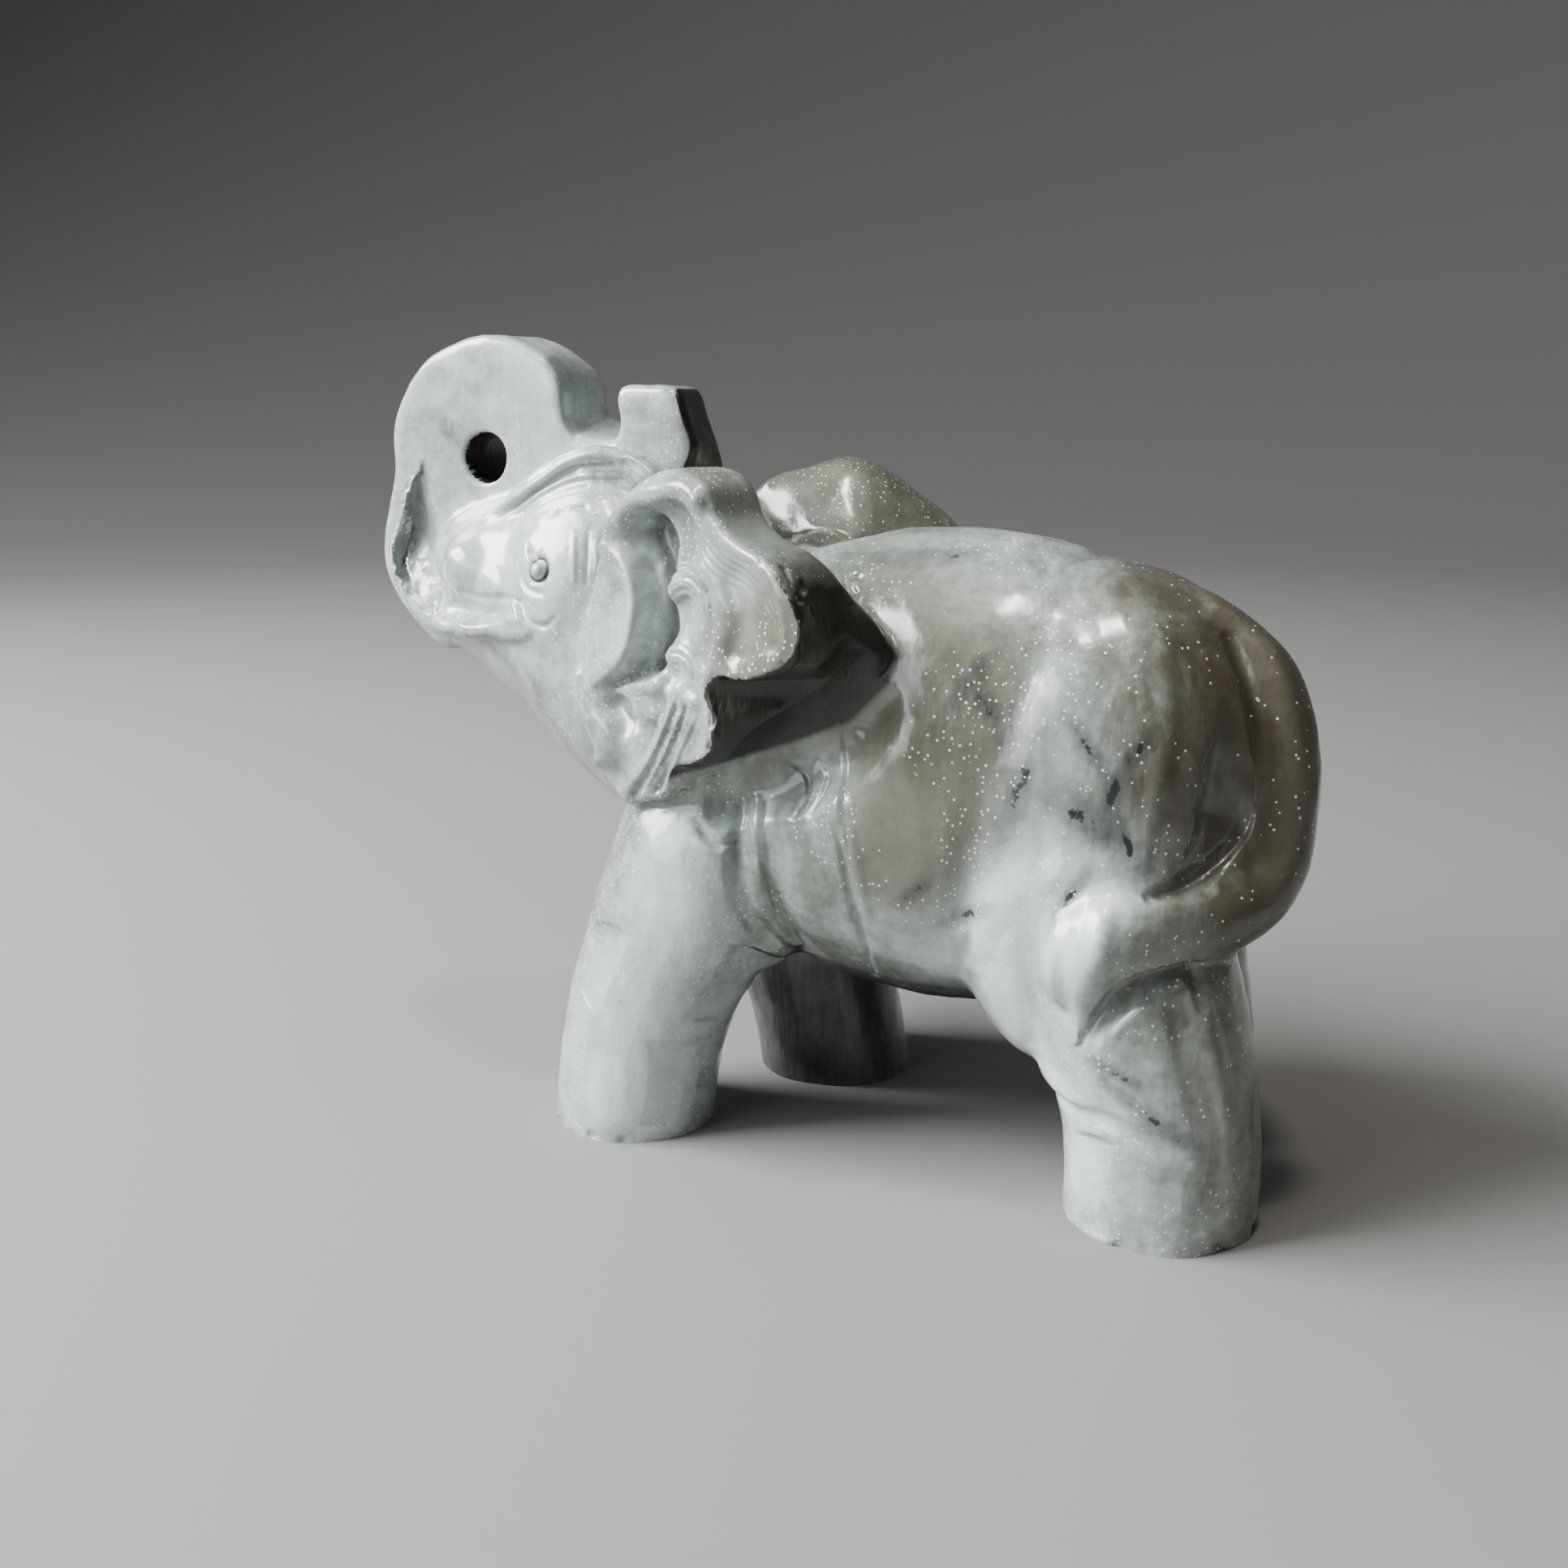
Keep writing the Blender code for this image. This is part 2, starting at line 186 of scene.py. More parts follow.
head = {
    "neck": [(0, -9, 31.5, 13.6), (0, -18, 35, 12.3), (0, -25, 39, 11.3), (0, -31, 40.9, 9.6),
        (0, -37, 41.9, 7.4), (0, -41.4, 42.4, 5)],
    "dome": ((0, -24.6, 40.8), (11.6, 9.6, 11.4), 0),
    "cheek": ((6.6, -34.8, 43.2), (2.4, 3, 2.6), -20),
    "brow": [(4.8, -33.6, 47.4, 0.7), (5.4, -31.2, 48.9, 1), (5.8, -28.4, 50.5, 1.1),
        (5.8, -25, 51.9, 1.1), (5.4, -21.6, 51.9, 1.1), (5.6, -18.8, 50.4, 0.9)],
    "jaw": [(4.2, -43.2, 40.4, 0.9), (6, -39.4, 38.8, 1.2), (8, -34.6, 38.7, 1.1), (9.4, -31, 39.2, 0.9),
        (10.6, -27.8, 39.6, 0.8), (11, -24.4, 40.8, 0.7)],
}
tail = {
    "rope": 2.5,
    "stations": [(0.3, 18.6, 42.2, 0.7), (0.7, 22.2, 41.2, 0.9), (1.2, 25.4, 38.8, 1),
        (1.9, 27.6, 35.8, 1), (2.5, 28.5, 32, 1), (3.1, 28.6, 28.4, 1.04), (4.2, 28.2, 25.2, 1.08),
        (6.4, 26.9, 23.2, 1.12), (9.4, 24.6, 22.4, 1.16), (12.4, 21.6, 22.2, 1.24), (14, 19, 21.6, 1.28),
        (14.3, 17.7, 19.4, 1.05), (14, 18, 16.4, 0.4)],
}
trunk = {
    "thickness": 7.4,
    "rim": 0.9,
    "curlRadius": 9.7,
    "hole": (-35.6, 51.9),
    "holeDiameter": 4.0,
    "chin": [(-40.4, 35.9), (-44.2, 38.3), (-46.4, 41.8), (-46.6, 45.4)],
    "curl": range(188, 40, -21),
    "valley": [(-27.8, 55.4), (-25.8, 54.7), (-24, 54.8)],
    "tip": [(-23, 56), (-22.4, 57.3), (-21.2, 57.7), (-19.3, 57.2), (-18.4, 55), (-17.2, 51)],
    "buried": [(-18.5, 45), (-26, 40), (-36, 37)],
}
ear = {
    "front": (12.5, -20),  # where the face leaves the head, as x and y
    "splay": 0.40,
    "rim": 4.5,
    "free": (42, 48),
    "bed": 12.5,
    "flare": 1.5,
    "sweep": (3.8, 38.4),
    "sweepCurve": 0.13,
    "frontEdge": -15,
    "root": (6, -9, 37.5),
    "rootSize": 0.62,
    "top": [(-20.4, 43), (-18.8, 46.8), (-17.2, 49.2), (-14.6, 51), (-11.4, 51.8), (-8.6, 50.8)],
    "scalloped": [(-7.4, 48.6), (-5.6, 47.2), (-3.2, 46.2), (-1.5, 44.6), (-0.2, 42.2), (-1, 39.6),
        (-4.8, 38), (-7.4, 37.9), (-8.7, 36.6), (-8, 34.8), (-8.2, 32.6), (-9.8, 31.4), (-12, 30.6),
        (-13.2, 28.2), (-15, 27.6)],
    "plain": [(-6.4, 49), (-3.2, 46.4), (-1, 42.6), (-1.6, 39.2), (-4.4, 36.6), (-7, 33.6),
        (-10.6, 30.4), (-13.8, 28)],
    "lower": [(-16.8, 27), (-19.6, 28.6), (-21.4, 31.6), (-22.6, 35), (-21.4, 39)],
}


def onEar(y, z, proud=0):
    return (ear["front"][0] + ear["splay"] * (y - ear["front"][1]) + proud, y, z)


def earBack(x, y, z):
    inner = x - ear["rim"]
    low, high = ear["free"]
    sink = min(max((high - z) / (high - low), 0), 1)
    swept = ear["sweep"][0] - ear["sweepCurve"] * (z - ear["sweep"][1]) ** 2
    behind = max(y + ear["flare"], swept) if y > ear["frontEdge"] else y
    return inner + (min(inner, ear["bed"]) - inner) * sink, behind, z


def earRoot(x, y, z):
    rootX, rootY, rootZ = ear["root"]
    return rootX, rootY + (y - rootY) * ear["rootSize"], rootZ + (z - rootZ) * ear["rootSize"]


# A thick flap: the outline's face is extruded to the ear's back and again to its buried root.
def addEar(side, rear):
    loop = smoothLoop(ear["top"] + rear + ear["lower"], 6)
    deselectAll()
    bpy.ops.mesh.primitive_circle_add(vertices=len(loop), radius=mm, fill_type="NGON")
    flap = bpy.context.object
    layers = [[onEar(y, z) for y, z in loop]]
    layers.append([earBack(*spot) for spot in layers[0]])
    layers.append([earRoot(*spot) for spot in layers[1]])
    for vertex, (x, y, z) in zip(flap.data.vertices, layers[0]):
        vertex.co = place(x * side, y, z)
    for before, after in zip(layers, layers[1:]):
        setMode("EDIT")
        bpy.ops.mesh.extrude_region_move()
        setMode("OBJECT")
        grown = [v for v in flap.data.vertices if v.select]
        spots = np.array([place(x * side, y, z) for x, y, z in before])
        for vertex in grown:
            nearest = int(np.argmin(((spots - np.array(vertex.co)) ** 2).sum(1)))
            x, y, z = after[nearest]
            vertex.co = place(x * side, y, z)
    setMode("EDIT")
    bpy.ops.mesh.select_all(action="SELECT")
    bpy.ops.mesh.fill_holes(sides=0)
    bpy.ops.mesh.select_all(action="SELECT")
    bpy.ops.mesh.quads_convert_to_tris()
    bpy.ops.mesh.normals_make_consistent(inside=False)
    setMode("OBJECT")
    return flap


def addTrunk():
    holeY, holeZ = trunk["hole"]
    turns = [math.radians(angle) for angle in trunk["curl"]]
    curl = [(holeY + trunk["curlRadius"] * math.cos(a), holeZ + trunk["curlRadius"] * math.sin(a))
            for a in turns]
    loop = smoothLoop(trunk["chin"] + curl + trunk["valley"] + trunk["tip"] + trunk["buried"], 6)
    deselectAll()
    bpy.ops.curve.primitive_bezier_circle_add()
    slab = bpy.context.object
    curve = slab.data
    curve.dimensions = "2D"
    curve.fill_mode = "BOTH"
    curve.extrude = (trunk["thickness"] / 2 - trunk["rim"]) * mm
    curve.bevel_depth = trunk["rim"] * mm
    curve.bevel_resolution = 4
    curve.offset = -trunk["rim"] * mm
    curve.splines.clear()
    spline = curve.splines.new("POLY")
    spline.points.add(len(loop) - 1)
    spline.use_cyclic_u = True
    for point, (y, z) in zip(spline.points, loop):
        point.co = ((y + middle) * mm, z * mm, 0, 1)
    bpy.ops.object.convert(target="MESH")
    slab.rotation_euler = (math.radians(90), 0, math.radians(90))
    pick(slab)
    bpy.ops.object.transform_apply(location=True, rotation=True, scale=True)
    weld(slab)
    return slab


def addTorsoAndLegs():
    clay = [addLump(*lump) for lump in torso["lumps"]]
    for side in (1, -1):
        for part in ("haunch", "shoulder"):
            (x, y, z), radii, pitch = torso[part]
            clay.append(addLump((x * side, y, z), radii, pitch))
    clay += [addLimb(stations) for stations in legs.values()]
    return clay


def addHead():
    clay = [addLimb(head["neck"]), addLump(*head["dome"])]
    for side in (1, -1):
        (x, y, z), radii, pitch = head["cheek"]
        clay.append(addLump((x * side, y, z), radii, pitch))
        clay += [addLimb(onSide(side, head[ridge])) for ridge in ("brow", "jaw")]
    return clay


def addTail():
    return addLimb([(x, y, z, share * tail["rope"]) for x, y, z, share in tail["stations"]])


gouges = {
    "mouth": [(4.6, -42.6, 49.6, 0.8), (5, -42.8, 47.6, 1.5), (5.2, -42.6, 45, 2.1),
        (5.8, -41.6, 42.4, 1.9), (6.8, -39.4, 40.8, 1.3)],
    "cove": [(16.8, 3.4, 41.8, 2), (16.6, 3.6, 38.4, 3.4), (16.2, 0.8, 34.4, 3.9), (15.4, -3.6, 31, 3.6),
        (14.6, -8.4, 28, 2.6)],
    "tailGroove": [(6.8, 25.6, 40.4, 1.6), (8.6, 27.4, 36.8, 2.8), (9.8, 28, 32.8, 3.6),
        (10.4, 27.4, 29, 3.6), (11.4, 25.8, 26.8, 2.4), (13.4, 23.6, 25.6, 1.2)],
}


def addGouges():
    tools = [addLimb(onSide(side, gouges[name])) for side in (1, -1) for name in ("mouth", "cove")]
    return tools + [addLimb(gouges["tailGroove"])]


def cut(thing, tool, operation="DIFFERENCE"):
    applyModifier(thing, "BOOLEAN", operation=operation, solver="EXACT", object=tool)
    bpy.data.objects.remove(tool, do_unlink=True)


# An open smooth line through corners of any number of values.
def smoothLine(corners, steps=6):
    corners = np.array(corners, float)
    if len(corners) < 3:
        return corners
    padded = np.vstack([2 * corners[0] - corners[1], corners, 2 * corners[-1] - corners[-2]])
    t = (np.arange(steps) / steps)[:, None]
    spots = [0.5 * (2 * b + (c - a) * t + (2 * a - 5 * b + 4 * c - d) * t ** 2
                    + (3 * b - a - 3 * c + d) * t ** 3)
             for a, b, c, d in zip(padded, padded[1:], padded[2:], padded[3:])]
    return np.vstack([*spots, corners[-1:]])


# How far spots are from a line, the place on it that is nearest, counted in its corners, and the
# side: 1 on the left of a line on the side view that is drawn with y to the right, -1 on the right.
def nearLine(spots, line):
    nearest = np.full(len(spots), 1e9)
    along, hand = np.zeros(len(spots)), np.ones(len(spots))
    for i, (a, b) in enumerate(zip(line[:-1], line[1:])):
        run = b - a
        share = np.clip(((spots - a) @ run) / max(run @ run, 1e-12), 0, 1)
        gap = spots - (a + share[:, None] * run)
        distance = np.linalg.norm(gap, axis=1)
        closer = distance < nearest
        nearest[closer] = distance[closer]
        along[closer] = i + share[closer]
        if len(run) == 2:
            hand[closer] = np.sign(run[0] * gap[closer, 1] - run[1] * gap[closer, 0])
    return nearest, along, hand


def softStep(value, low, high):
    share = np.clip((value - low) / (high - low), 0, 1)
    return share * share * (3 - 2 * share)


# The points of a mesh in mm on the drawing, and the normals that strokes follow.
class Surface:
    def __init__(self, thing):
        self.thing = thing
        self.read()

    def read(self):
        mesh = self.thing.data
        flat = np.zeros(len(mesh.vertices) * 3, np.float32)
        mesh.vertices.foreach_get("co", flat)
        self.points = flat.reshape(-1, 3).astype(float) / mm - (0, middle, 0)
        mesh.vertices.foreach_get("normal", flat)
        self.normals = flat.reshape(-1, 3).astype(float)

    def write(self):
        flat = ((self.points + (0, middle, 0)) * mm).astype(np.float32).ravel()
        self.thing.data.vertices.foreach_set("co", flat)
        self.thing.data.update()
        self.read()

    # Raises, or for a height below 0 cuts, a line drawn on the side view. Each corner is y, z, half
    # width and height. The banks are the shares of the width on the line's left and on its right.
    def stroke(self, corners, side=1, banks=(1, 1), facing=0.12, rough=0):
        line = smoothLine(corners)
        reach = line[:, 2].max() * max(banks)
        near = self.nearby(line[:, :2], reach, side, facing)
        distance, along, hand = nearLine(self.points[near, 1:], line[:, :2])
        count = np.arange(len(line))
        width, height = np.interp(along, count, line[:, 2]), np.interp(along, count, line[:, 3])
        width = width * np.where(hand > 0, banks[0], banks[1])
        share = np.clip(1 - (distance / width) ** 2, 0, 1) ** 2
        share *= softStep(self.normals[near, 0] * side, facing, facing + 0.2)
        share *= 1 + rough * waves(self.points[near], 0.9, 11)
        self.lift(near, share * height)

    def lift(self, near, height):
        self.points[near] += self.normals[near] * height[:, None]

    # What is on one side of the carving and within reach of a line on the side view.
    def nearby(self, line, reach, side, facing):
        (lowY, lowZ), (highY, highZ) = line.min(0) - reach, line.max(0) + reach
        x, y, z = self.points.T
        return np.nonzero((y > lowY) & (y < highY) & (z > lowZ) & (z < highZ)
                          & (self.normals[:, 0] * side > facing) & (x * side > 0))[0]

    # A stroke whose corners are x, y, z, half width and height, on any side of the carving.
    def strokeRound(self, corners):
        line = smoothLine(corners)
        reach = line[:, 3].max()
        low, high = line[:, :3].min(0) - reach, line[:, :3].max(0) + reach
        near = np.nonzero(((self.points > low) & (self.points < high)).all(1))[0]
        distance, along, _ = nearLine(self.points[near], line[:, :3])
        count = np.arange(len(line))
        width, height = np.interp(along, count, line[:, 3]), np.interp(along, count, line[:, 4])
        share = np.clip(1 - (distance / width) ** 2, 0, 1) ** 2
        self.lift(near, share * height)

    # Ripples that run along a line, between two distances from it, on its left or right or both.
    def ripples(self, corners, span, pitch, height, side=1, hands=(1, 1)):
        line = smoothLine(corners)
        near = self.nearby(line, span[1], side, 0.2)
        distance, along, hand = nearLine(self.points[near, 1:], line)
        middle, half = sum(span) / 2, (span[1] - span[0]) / 2
        share = np.clip(1 - ((distance - middle) / half) ** 2, 0, 1) * np.where(hand > 0, *hands)
        share *= softStep(np.minimum(along, len(line) - 1 - along), 0, len(line) / 5)
        self.lift(near, np.sin(distance * 2 * math.pi / pitch) * height * share)

    # A flat left by the grinder: what stands over a plane near y, z is taken down to it.
    def facet(self, y, z, reach, sink, tilt=(0, 0), side=1):
        spot = np.array([y, z])
        near = self.nearby(spot[None], reach, side, 0.1)
        distance = np.linalg.norm(self.points[near, 1:] - spot, axis=1)
        middle = near[np.argmin(distance)]
        normal = self.normals[near[distance < reach / 2]].mean(0) + (0, tilt[0], tilt[1])
        normal /= np.linalg.norm(normal)
        over = (self.points[near] - self.points[middle]) @ normal + sink
        over = np.clip(over, 0, None) * softStep(reach - distance, 0, reach * 0.12)
        self.points[near] -= normal * over[:, None]

    # Low waves that a hand leaves in a ground surface.
    def sway(self, size, height, seed):
        self.points += self.normals * (waves(self.points, size, seed) * height)[:, None]

    # Small bites out of an edge that runs along a line on the side view.
    def chip(self, corners, reach, depth, size, side=1, facing=-0.9):
        line = smoothLine(corners)
        near = self.nearby(line, reach, side, facing)
        distance, _, _ = nearLine(self.points[near, 1:], line)
        bite = softStep(waves(self.points[near], size, 23), 0.2, 1.1)
        bite *= softStep(reach - distance, 0, reach * 0.8)
        self.lift(near, -bite * depth)


# Smooth waves between about -1 and 1 that repeat over about the size given, the same each time.
def waves(points, size, seed):
    chance = np.random.default_rng(seed)
    total = np.zeros(len(points))
    for _ in range(9):
        direction = chance.normal(size=3)
        direction *= chance.uniform(0.7, 1.5) / np.linalg.norm(direction)
        total += np.sin(points @ direction * 2 * math.pi / size + chance.uniform(0, 2 * math.pi))
    return total / 4


# The carved face of an ear, as lines of y and z with the height of each over the ear's plane.
earFace = {
    "both": [
        (0.9, [(-17.9, 47.4), (-16.4, 49), (-14.4, 49.9), (-12.4, 50.2), (-10.1, 50.6), (-8.3, 49.8)]),
        (1, [(-18.4, 46.2), (-17.6, 45.4), (-16.4, 44.8), (-15.6, 44.1), (-15.1, 43.2), (-15, 42.2),
            (-15.3, 40.8), (-15.7, 39.4), (-16.6, 38), (-18.1, 36.7), (-19.6, 35.8)]),
        (-1.5, [(-14.6, 44.6), (-14.3, 43.2), (-14.2, 41.9), (-14.5, 40.4), (-14.9, 39), (-15.9, 37.4)]),
        (-2.5, [(-14.4, 47.6), (-13.8, 45.8), (-13.6, 43.6), (-13.6, 41.4), (-13.8, 39.4),
            (-14.9, 37.6)]),
        (-1.1, [(-15.4, 37.1), (-16.9, 36.4), (-18.6, 35.5)]),
        (-1, [(-11.6, 48.6), (-11, 46.6), (-11.4, 45.4)]),
        (-0.5, [(-5.8, 44.2), (-4.6, 42.8), (-4.7, 40.8), (-5.6, 39.9)]),
        (-0.3, [(-2.6, 43.2), (-2.4, 41)]),
        (0.8, [(-21.9, 36.2), (-21.9, 34.8), (-20.6, 33.4), (-19.4, 32.4), (-19.2, 31), (-20.1, 29.6)]),
    ],
    "left": [
        (-0.2, [(-12.1, 43.4), (-10.6, 44.2), (-9.4, 43.8), (-8.8, 42.9), (-8.7, 41.8), (-9, 40.8)]),
        (-0.9, [(-11.2, 42.2), (-11, 41.4)]),
        (0, [(-12.2, 38.6), (-10.9, 38.7), (-10, 37.9), (-9.8, 36.8)]),
        (-0.8, [(-12.4, 37.4), (-12, 37.2)]),
        (0.25, [(-8.4, 44.6), (-7.5, 43.7), (-7.1, 42.3), (-7.2, 40.7), (-7.6, 39), (-7.9, 37.7)]),
        (-0.4, [(-8.5, 43.6), (-8, 42.4), (-8.1, 40.8), (-8.6, 39)]),
        (0.45, [(-11.3, 36.4), (-11.6, 35.2), (-12.7, 33), (-14.3, 30.7), (-16.6, 28.2)]),
        (0.45, [(-10.6, 35.7), (-11.6, 33.5), (-13.2, 30.7), (-14.9, 28.1)]),
        (0.4, [(-9.7, 35.8), (-10.7, 33.5), (-11.6, 31)]),
        (-0.25, [(-11, 35.2), (-12.2, 33), (-13.8, 30.5), (-15.7, 28.2)]),
        (-0.3, [(-10, 35.2), (-11.1, 33.2), (-12.4, 30.6), (-13.4, 28.8)]),
        (-0.3, [(-12.9, 35.2), (-14.2, 32.6), (-16, 30.2), (-17.8, 28.4)]),
        (-0.1, [(-8.6, 36.2), (-9, 34.6), (-9.4, 32.4)]),
        (-1, [(-18.2, 34.5), (-17, 33.8)]),
        (0.35, [(-19.4, 35.3), (-16.3, 36), (-13.4, 36.5)]),
        (0.2, [(-15.6, 34.7), (-13.6, 33.9)]),
    ],
    "right": [(-0.4, [(-9.6, 44), (-8.6, 41), (-9.6, 38)]), (-0.6, [(-12.4, 35.6), (-15, 31)])],
    "rim": 0.1,
    "sharpness": 1.6,
    "blur": 0.12,
}


# The face takes at each spot the height of the lines about it, each by its nearness.
def carveEar(surface, side, lines, rear):
    loop = smoothLoop(ear["top"] + rear + ear["lower"], 6)
    loop = np.vstack([loop, loop[:1]])
    frontX, frontY = ear["front"]
    slope = ear["splay"]
    steep = math.hypot(1, slope)
    x, y, z = surface.points.T
    off = (x * side - frontX - slope * (y - frontY)) / steep
    facing = (surface.normals[:, 0] * side - slope * surface.normals[:, 1]) / steep
    near = np.nonzero((abs(off) < 3) & (facing > 0.3) & (y > -24) & (y < 2) & (z > 25) & (z < 54))[0]
    spots = surface.points[near, 1:]
    inside = insideLoop(spots, loop)
    edge, _, _ = nearLine(spots, loop)
    weights, heights = 0, 0
    for height, line in [(earFace["rim"], loop), *lines]:
        line = smoothLine(line) if line is not loop else line
        distance, _, _ = nearLine(spots, line)
        weight = (distance ** 2 + earFace["blur"] ** 2) ** -earFace["sharpness"]
        weights = weights + weight
        heights = heights + weight * height
    target = heights / weights
    share = np.where(inside, 1, 0) * softStep(edge, 0.0, 0.35)
    move = (target - off[near]) * share
    surface.points[near, 0] += move * side / steep
    surface.points[near, 1] -= move * slope / steep


def insideLoop(spots, loop):
    y, z = spots.T
    inside = np.zeros(len(spots), bool)
    for (ay, az), (by, bz) in zip(loop[:-1], loop[1:]):
        crosses = (az > z) != (bz > z)
        inside ^= crosses & (y < (by - ay) * (z - az) / (bz - az + 1e-12) + ay)
    return inside


# Soft passages, as rounds of smoothing and then x, y, z and reach. Those with x below 0 are on the right
# side alone: the far ear's dome. The last ones blend the coves behind the ears into the flanks.
softSpots = [
    (14, [(5.6, -39.2, 45.6, 4.2), (5.4, -37.6, 42.2, 2.8), (8.2, -35.4, 44.4, 2.8), (5, -33, 47.6, 2.8),
        (5.4, -29.4, 49.6, 2.6), (5.6, -25.6, 51.4, 2.6), (5.2, -21.8, 51.8, 2.4)]),
    (14, [(5.6, -39.2, 45.6, 4.2), (8.2, -35.4, 44.4, 2.4)]),
    (200, [(-9.4, -12.6, 49.6, 3.6), (-10.4, -9, 49.2, 5), (-12.6, -6, 48.4, 4.6),
        (-11.6, -4, 47, 3.6)]),
    (60, [(14.8, 4.8, 33.4, 2.8), (14.6, 3.6, 29.8, 3.2), (14.2, -0.4, 27.8, 3.2), (13.6, -5, 26.4, 2.6),
        (12.4, 0.8, 32, 2)]),
]


# Strokes on both sides of the head as y, z, half width and height.
headStrokes = {
    "outerCrest": [(-34.6, 47.4, 0.4, 0.1), (-33, 48, 0.45, 0.2), (-30.2, 49.3, 0.5, 0.25),
        (-28, 50.5, 0.5, 0.28), (-26.2, 51.6, 0.5, 0.28), (-24.5, 52.2, 0.5, 0.28),
        (-22.8, 52.3, 0.5, 0.25), (-21.3, 52, 0.5, 0.15)],
    "outerGroove": [(-33.6, 46.8, 0.35, -0.1), (-30.6, 48.5, 0.38, -0.25), (-28.7, 49.6, 0.38, -0.3),
        (-26.4, 50.8, 0.38, -0.3), (-24.5, 51.4, 0.38, -0.3), (-22, 51.5, 0.35, -0.2)],
    "innerCrest": [(-31, 47.8, 0.36, 0.1), (-29, 48.9, 0.36, 0.2), (-26.6, 50.1, 0.36, 0.22),
        (-24.4, 50.7, 0.36, 0.22), (-21.8, 50.7, 0.36, 0.1)],
    "innerGroove": [(-30, 47.6, 0.34, -0.1), (-28.4, 48.4, 0.34, -0.2), (-26.2, 49.4, 0.34, -0.22),
        (-24, 49.9, 0.34, -0.18)],
    "thirdCrest": [(-28.6, 47.6, 0.3, 0.05), (-26.4, 48.8, 0.32, 0.12), (-24, 49.3, 0.32, 0.12),
        (-22.4, 49.2, 0.3, 0.06)],
    "templeA": [(-23.4, 46.6, 0.3, 0.05), (-23, 45, 0.35, 0.16), (-22.7, 43.2, 0.3, 0.06)],
    "templeB": [(-22.4, 47, 0.3, -0.05), (-22, 45, 0.34, -0.2), (-21.8, 43, 0.3, -0.08)],
    "templeC": [(-21.7, 46.8, 0.3, 0.05), (-21.3, 44.8, 0.34, 0.16), (-21.1, 43.2, 0.3, 0.06)],
    "cheek": [(-37, 45, 1.2, 0.15), (-35, 44, 1.8, 0.35), (-33, 42.9, 1.8, 0.35),
        (-31.4, 42.2, 1.3, 0.15)],
    "lipLine": [(-35.2, 41.5, 0.45, -0.1), (-33.4, 41.2, 0.5, -0.2), (-31.2, 41.3, 0.5, -0.22),
        (-28.9, 41.4, 0.45, -0.2), (-27.7, 40.9, 0.4, -0.1)],
    "underCheek": [(-36.4, 40.1, 1, -0.25), (-33.4, 40, 1.3, -0.45), (-30.4, 40.2, 1.1, -0.35)],
    "wedge": [(-28.8, 41.2, 0.35, 0.15), (-27.7, 39.7, 0.4, 0.2), (-27.1, 39, 0.35, 0.1)],
    "wedgeGroove": [(-28.1, 41.3, 0.35, -0.2), (-26.9, 40, 0.4, -0.25), (-25.4, 39.6, 0.4, -0.2),
        (-24.2, 40.3, 0.35, -0.1)],
    "jaw": [(-38.5, 38.9, 0.8, 0.2), (-36.9, 38.5, 0.8, 0.3), (-35.5, 38.9, 0.7, 0.15),
        (-34.2, 38.5, 0.8, 0.3), (-31.9, 38.5, 0.7, 0.2), (-29.6, 38.4, 0.8, 0.3),
        (-27, 38.9, 0.7, 0.2)],
}
chipLine = [(-28.2, 47.2, 0.3, -0.08), (-27, 47.7, 0.34, 0.1), (-25.6, 48.1, 0.34, -0.12),
    (-24.6, 48.4, 0.34, 0.1), (-23.4, 48.5, 0.34, -0.12), (-22.3, 48.1, 0.3, 0.08)]
mouth = {
    "edge": [(-42.4, 50.2, 1.8, -0.3), (-43.2, 48.4, 3.2, -0.8), (-43.7, 46.5, 4.2, -1.1),
        (-44.6, 44.3, 4.4, -1.1), (-44.6, 42.7, 3.2, -0.95), (-43.7, 41, 2.2, -0.7),
        (-41, 39.8, 1.2, -0.4)],
    "lip": [(-42.9, 50, 0.3, 0.08), (-43.8, 48.2, 0.34, 0.15), (-44.2, 46.5, 0.34, 0.15),
        (-45.2, 44.3, 0.34, 0.15), (-45.2, 42.7, 0.34, 0.15), (-44.3, 40.8, 0.34, 0.15)],
    "lumps": [(-42.4, 42.9, 0.5, 0.25), (-41.4, 42, 0.35, -0.15), (-40.9, 41.5, 0.45, 0.2)],
    "lowLumps": [(-43, 40.9, 0.5, 0.25), (-41.9, 40.5, 0.35, -0.1), (-40.6, 40, 0.5, 0.22),
        (-39.6, 39.9, 0.3, -0.1), (-38.7, 39.7, 0.4, 0.2)],
}
eye = {
    "spot": (-26.1, 43.8),
    "radius": 0.62,
    "height": 0.42,
    "ring": 0.88,
    "ringWidth": 0.34,
    "depth": 0.42,
    "corner": [(-27.6, 45.6, 0.3, -0.1), (-27.1, 45, 0.4, -0.4), (-26.7, 44.6, 0.35, -0.3)],
    "bag": [(-27.9, 43.9, 0.35, -0.1), (-27.7, 43, 0.45, -0.2), (-26.9, 42.3, 0.45, -0.25),
        (-25.4, 42.1, 0.45, -0.12)],
}
tipSkew = (0.6, 0.9, 0.9)  # the end of the trunk is cut askew: shift, turn and lean forward, in mm
# How far the near side of the saddle before the trunk's tip is let down, by y.
valley = {"y": (-30, -28.6, -27, -24.8, -23.3, -22.6, -22), "drop": (0, 0.3, 1.2, 1.5, 1.7, 1.0, 0),
    "bottom": 50.5}


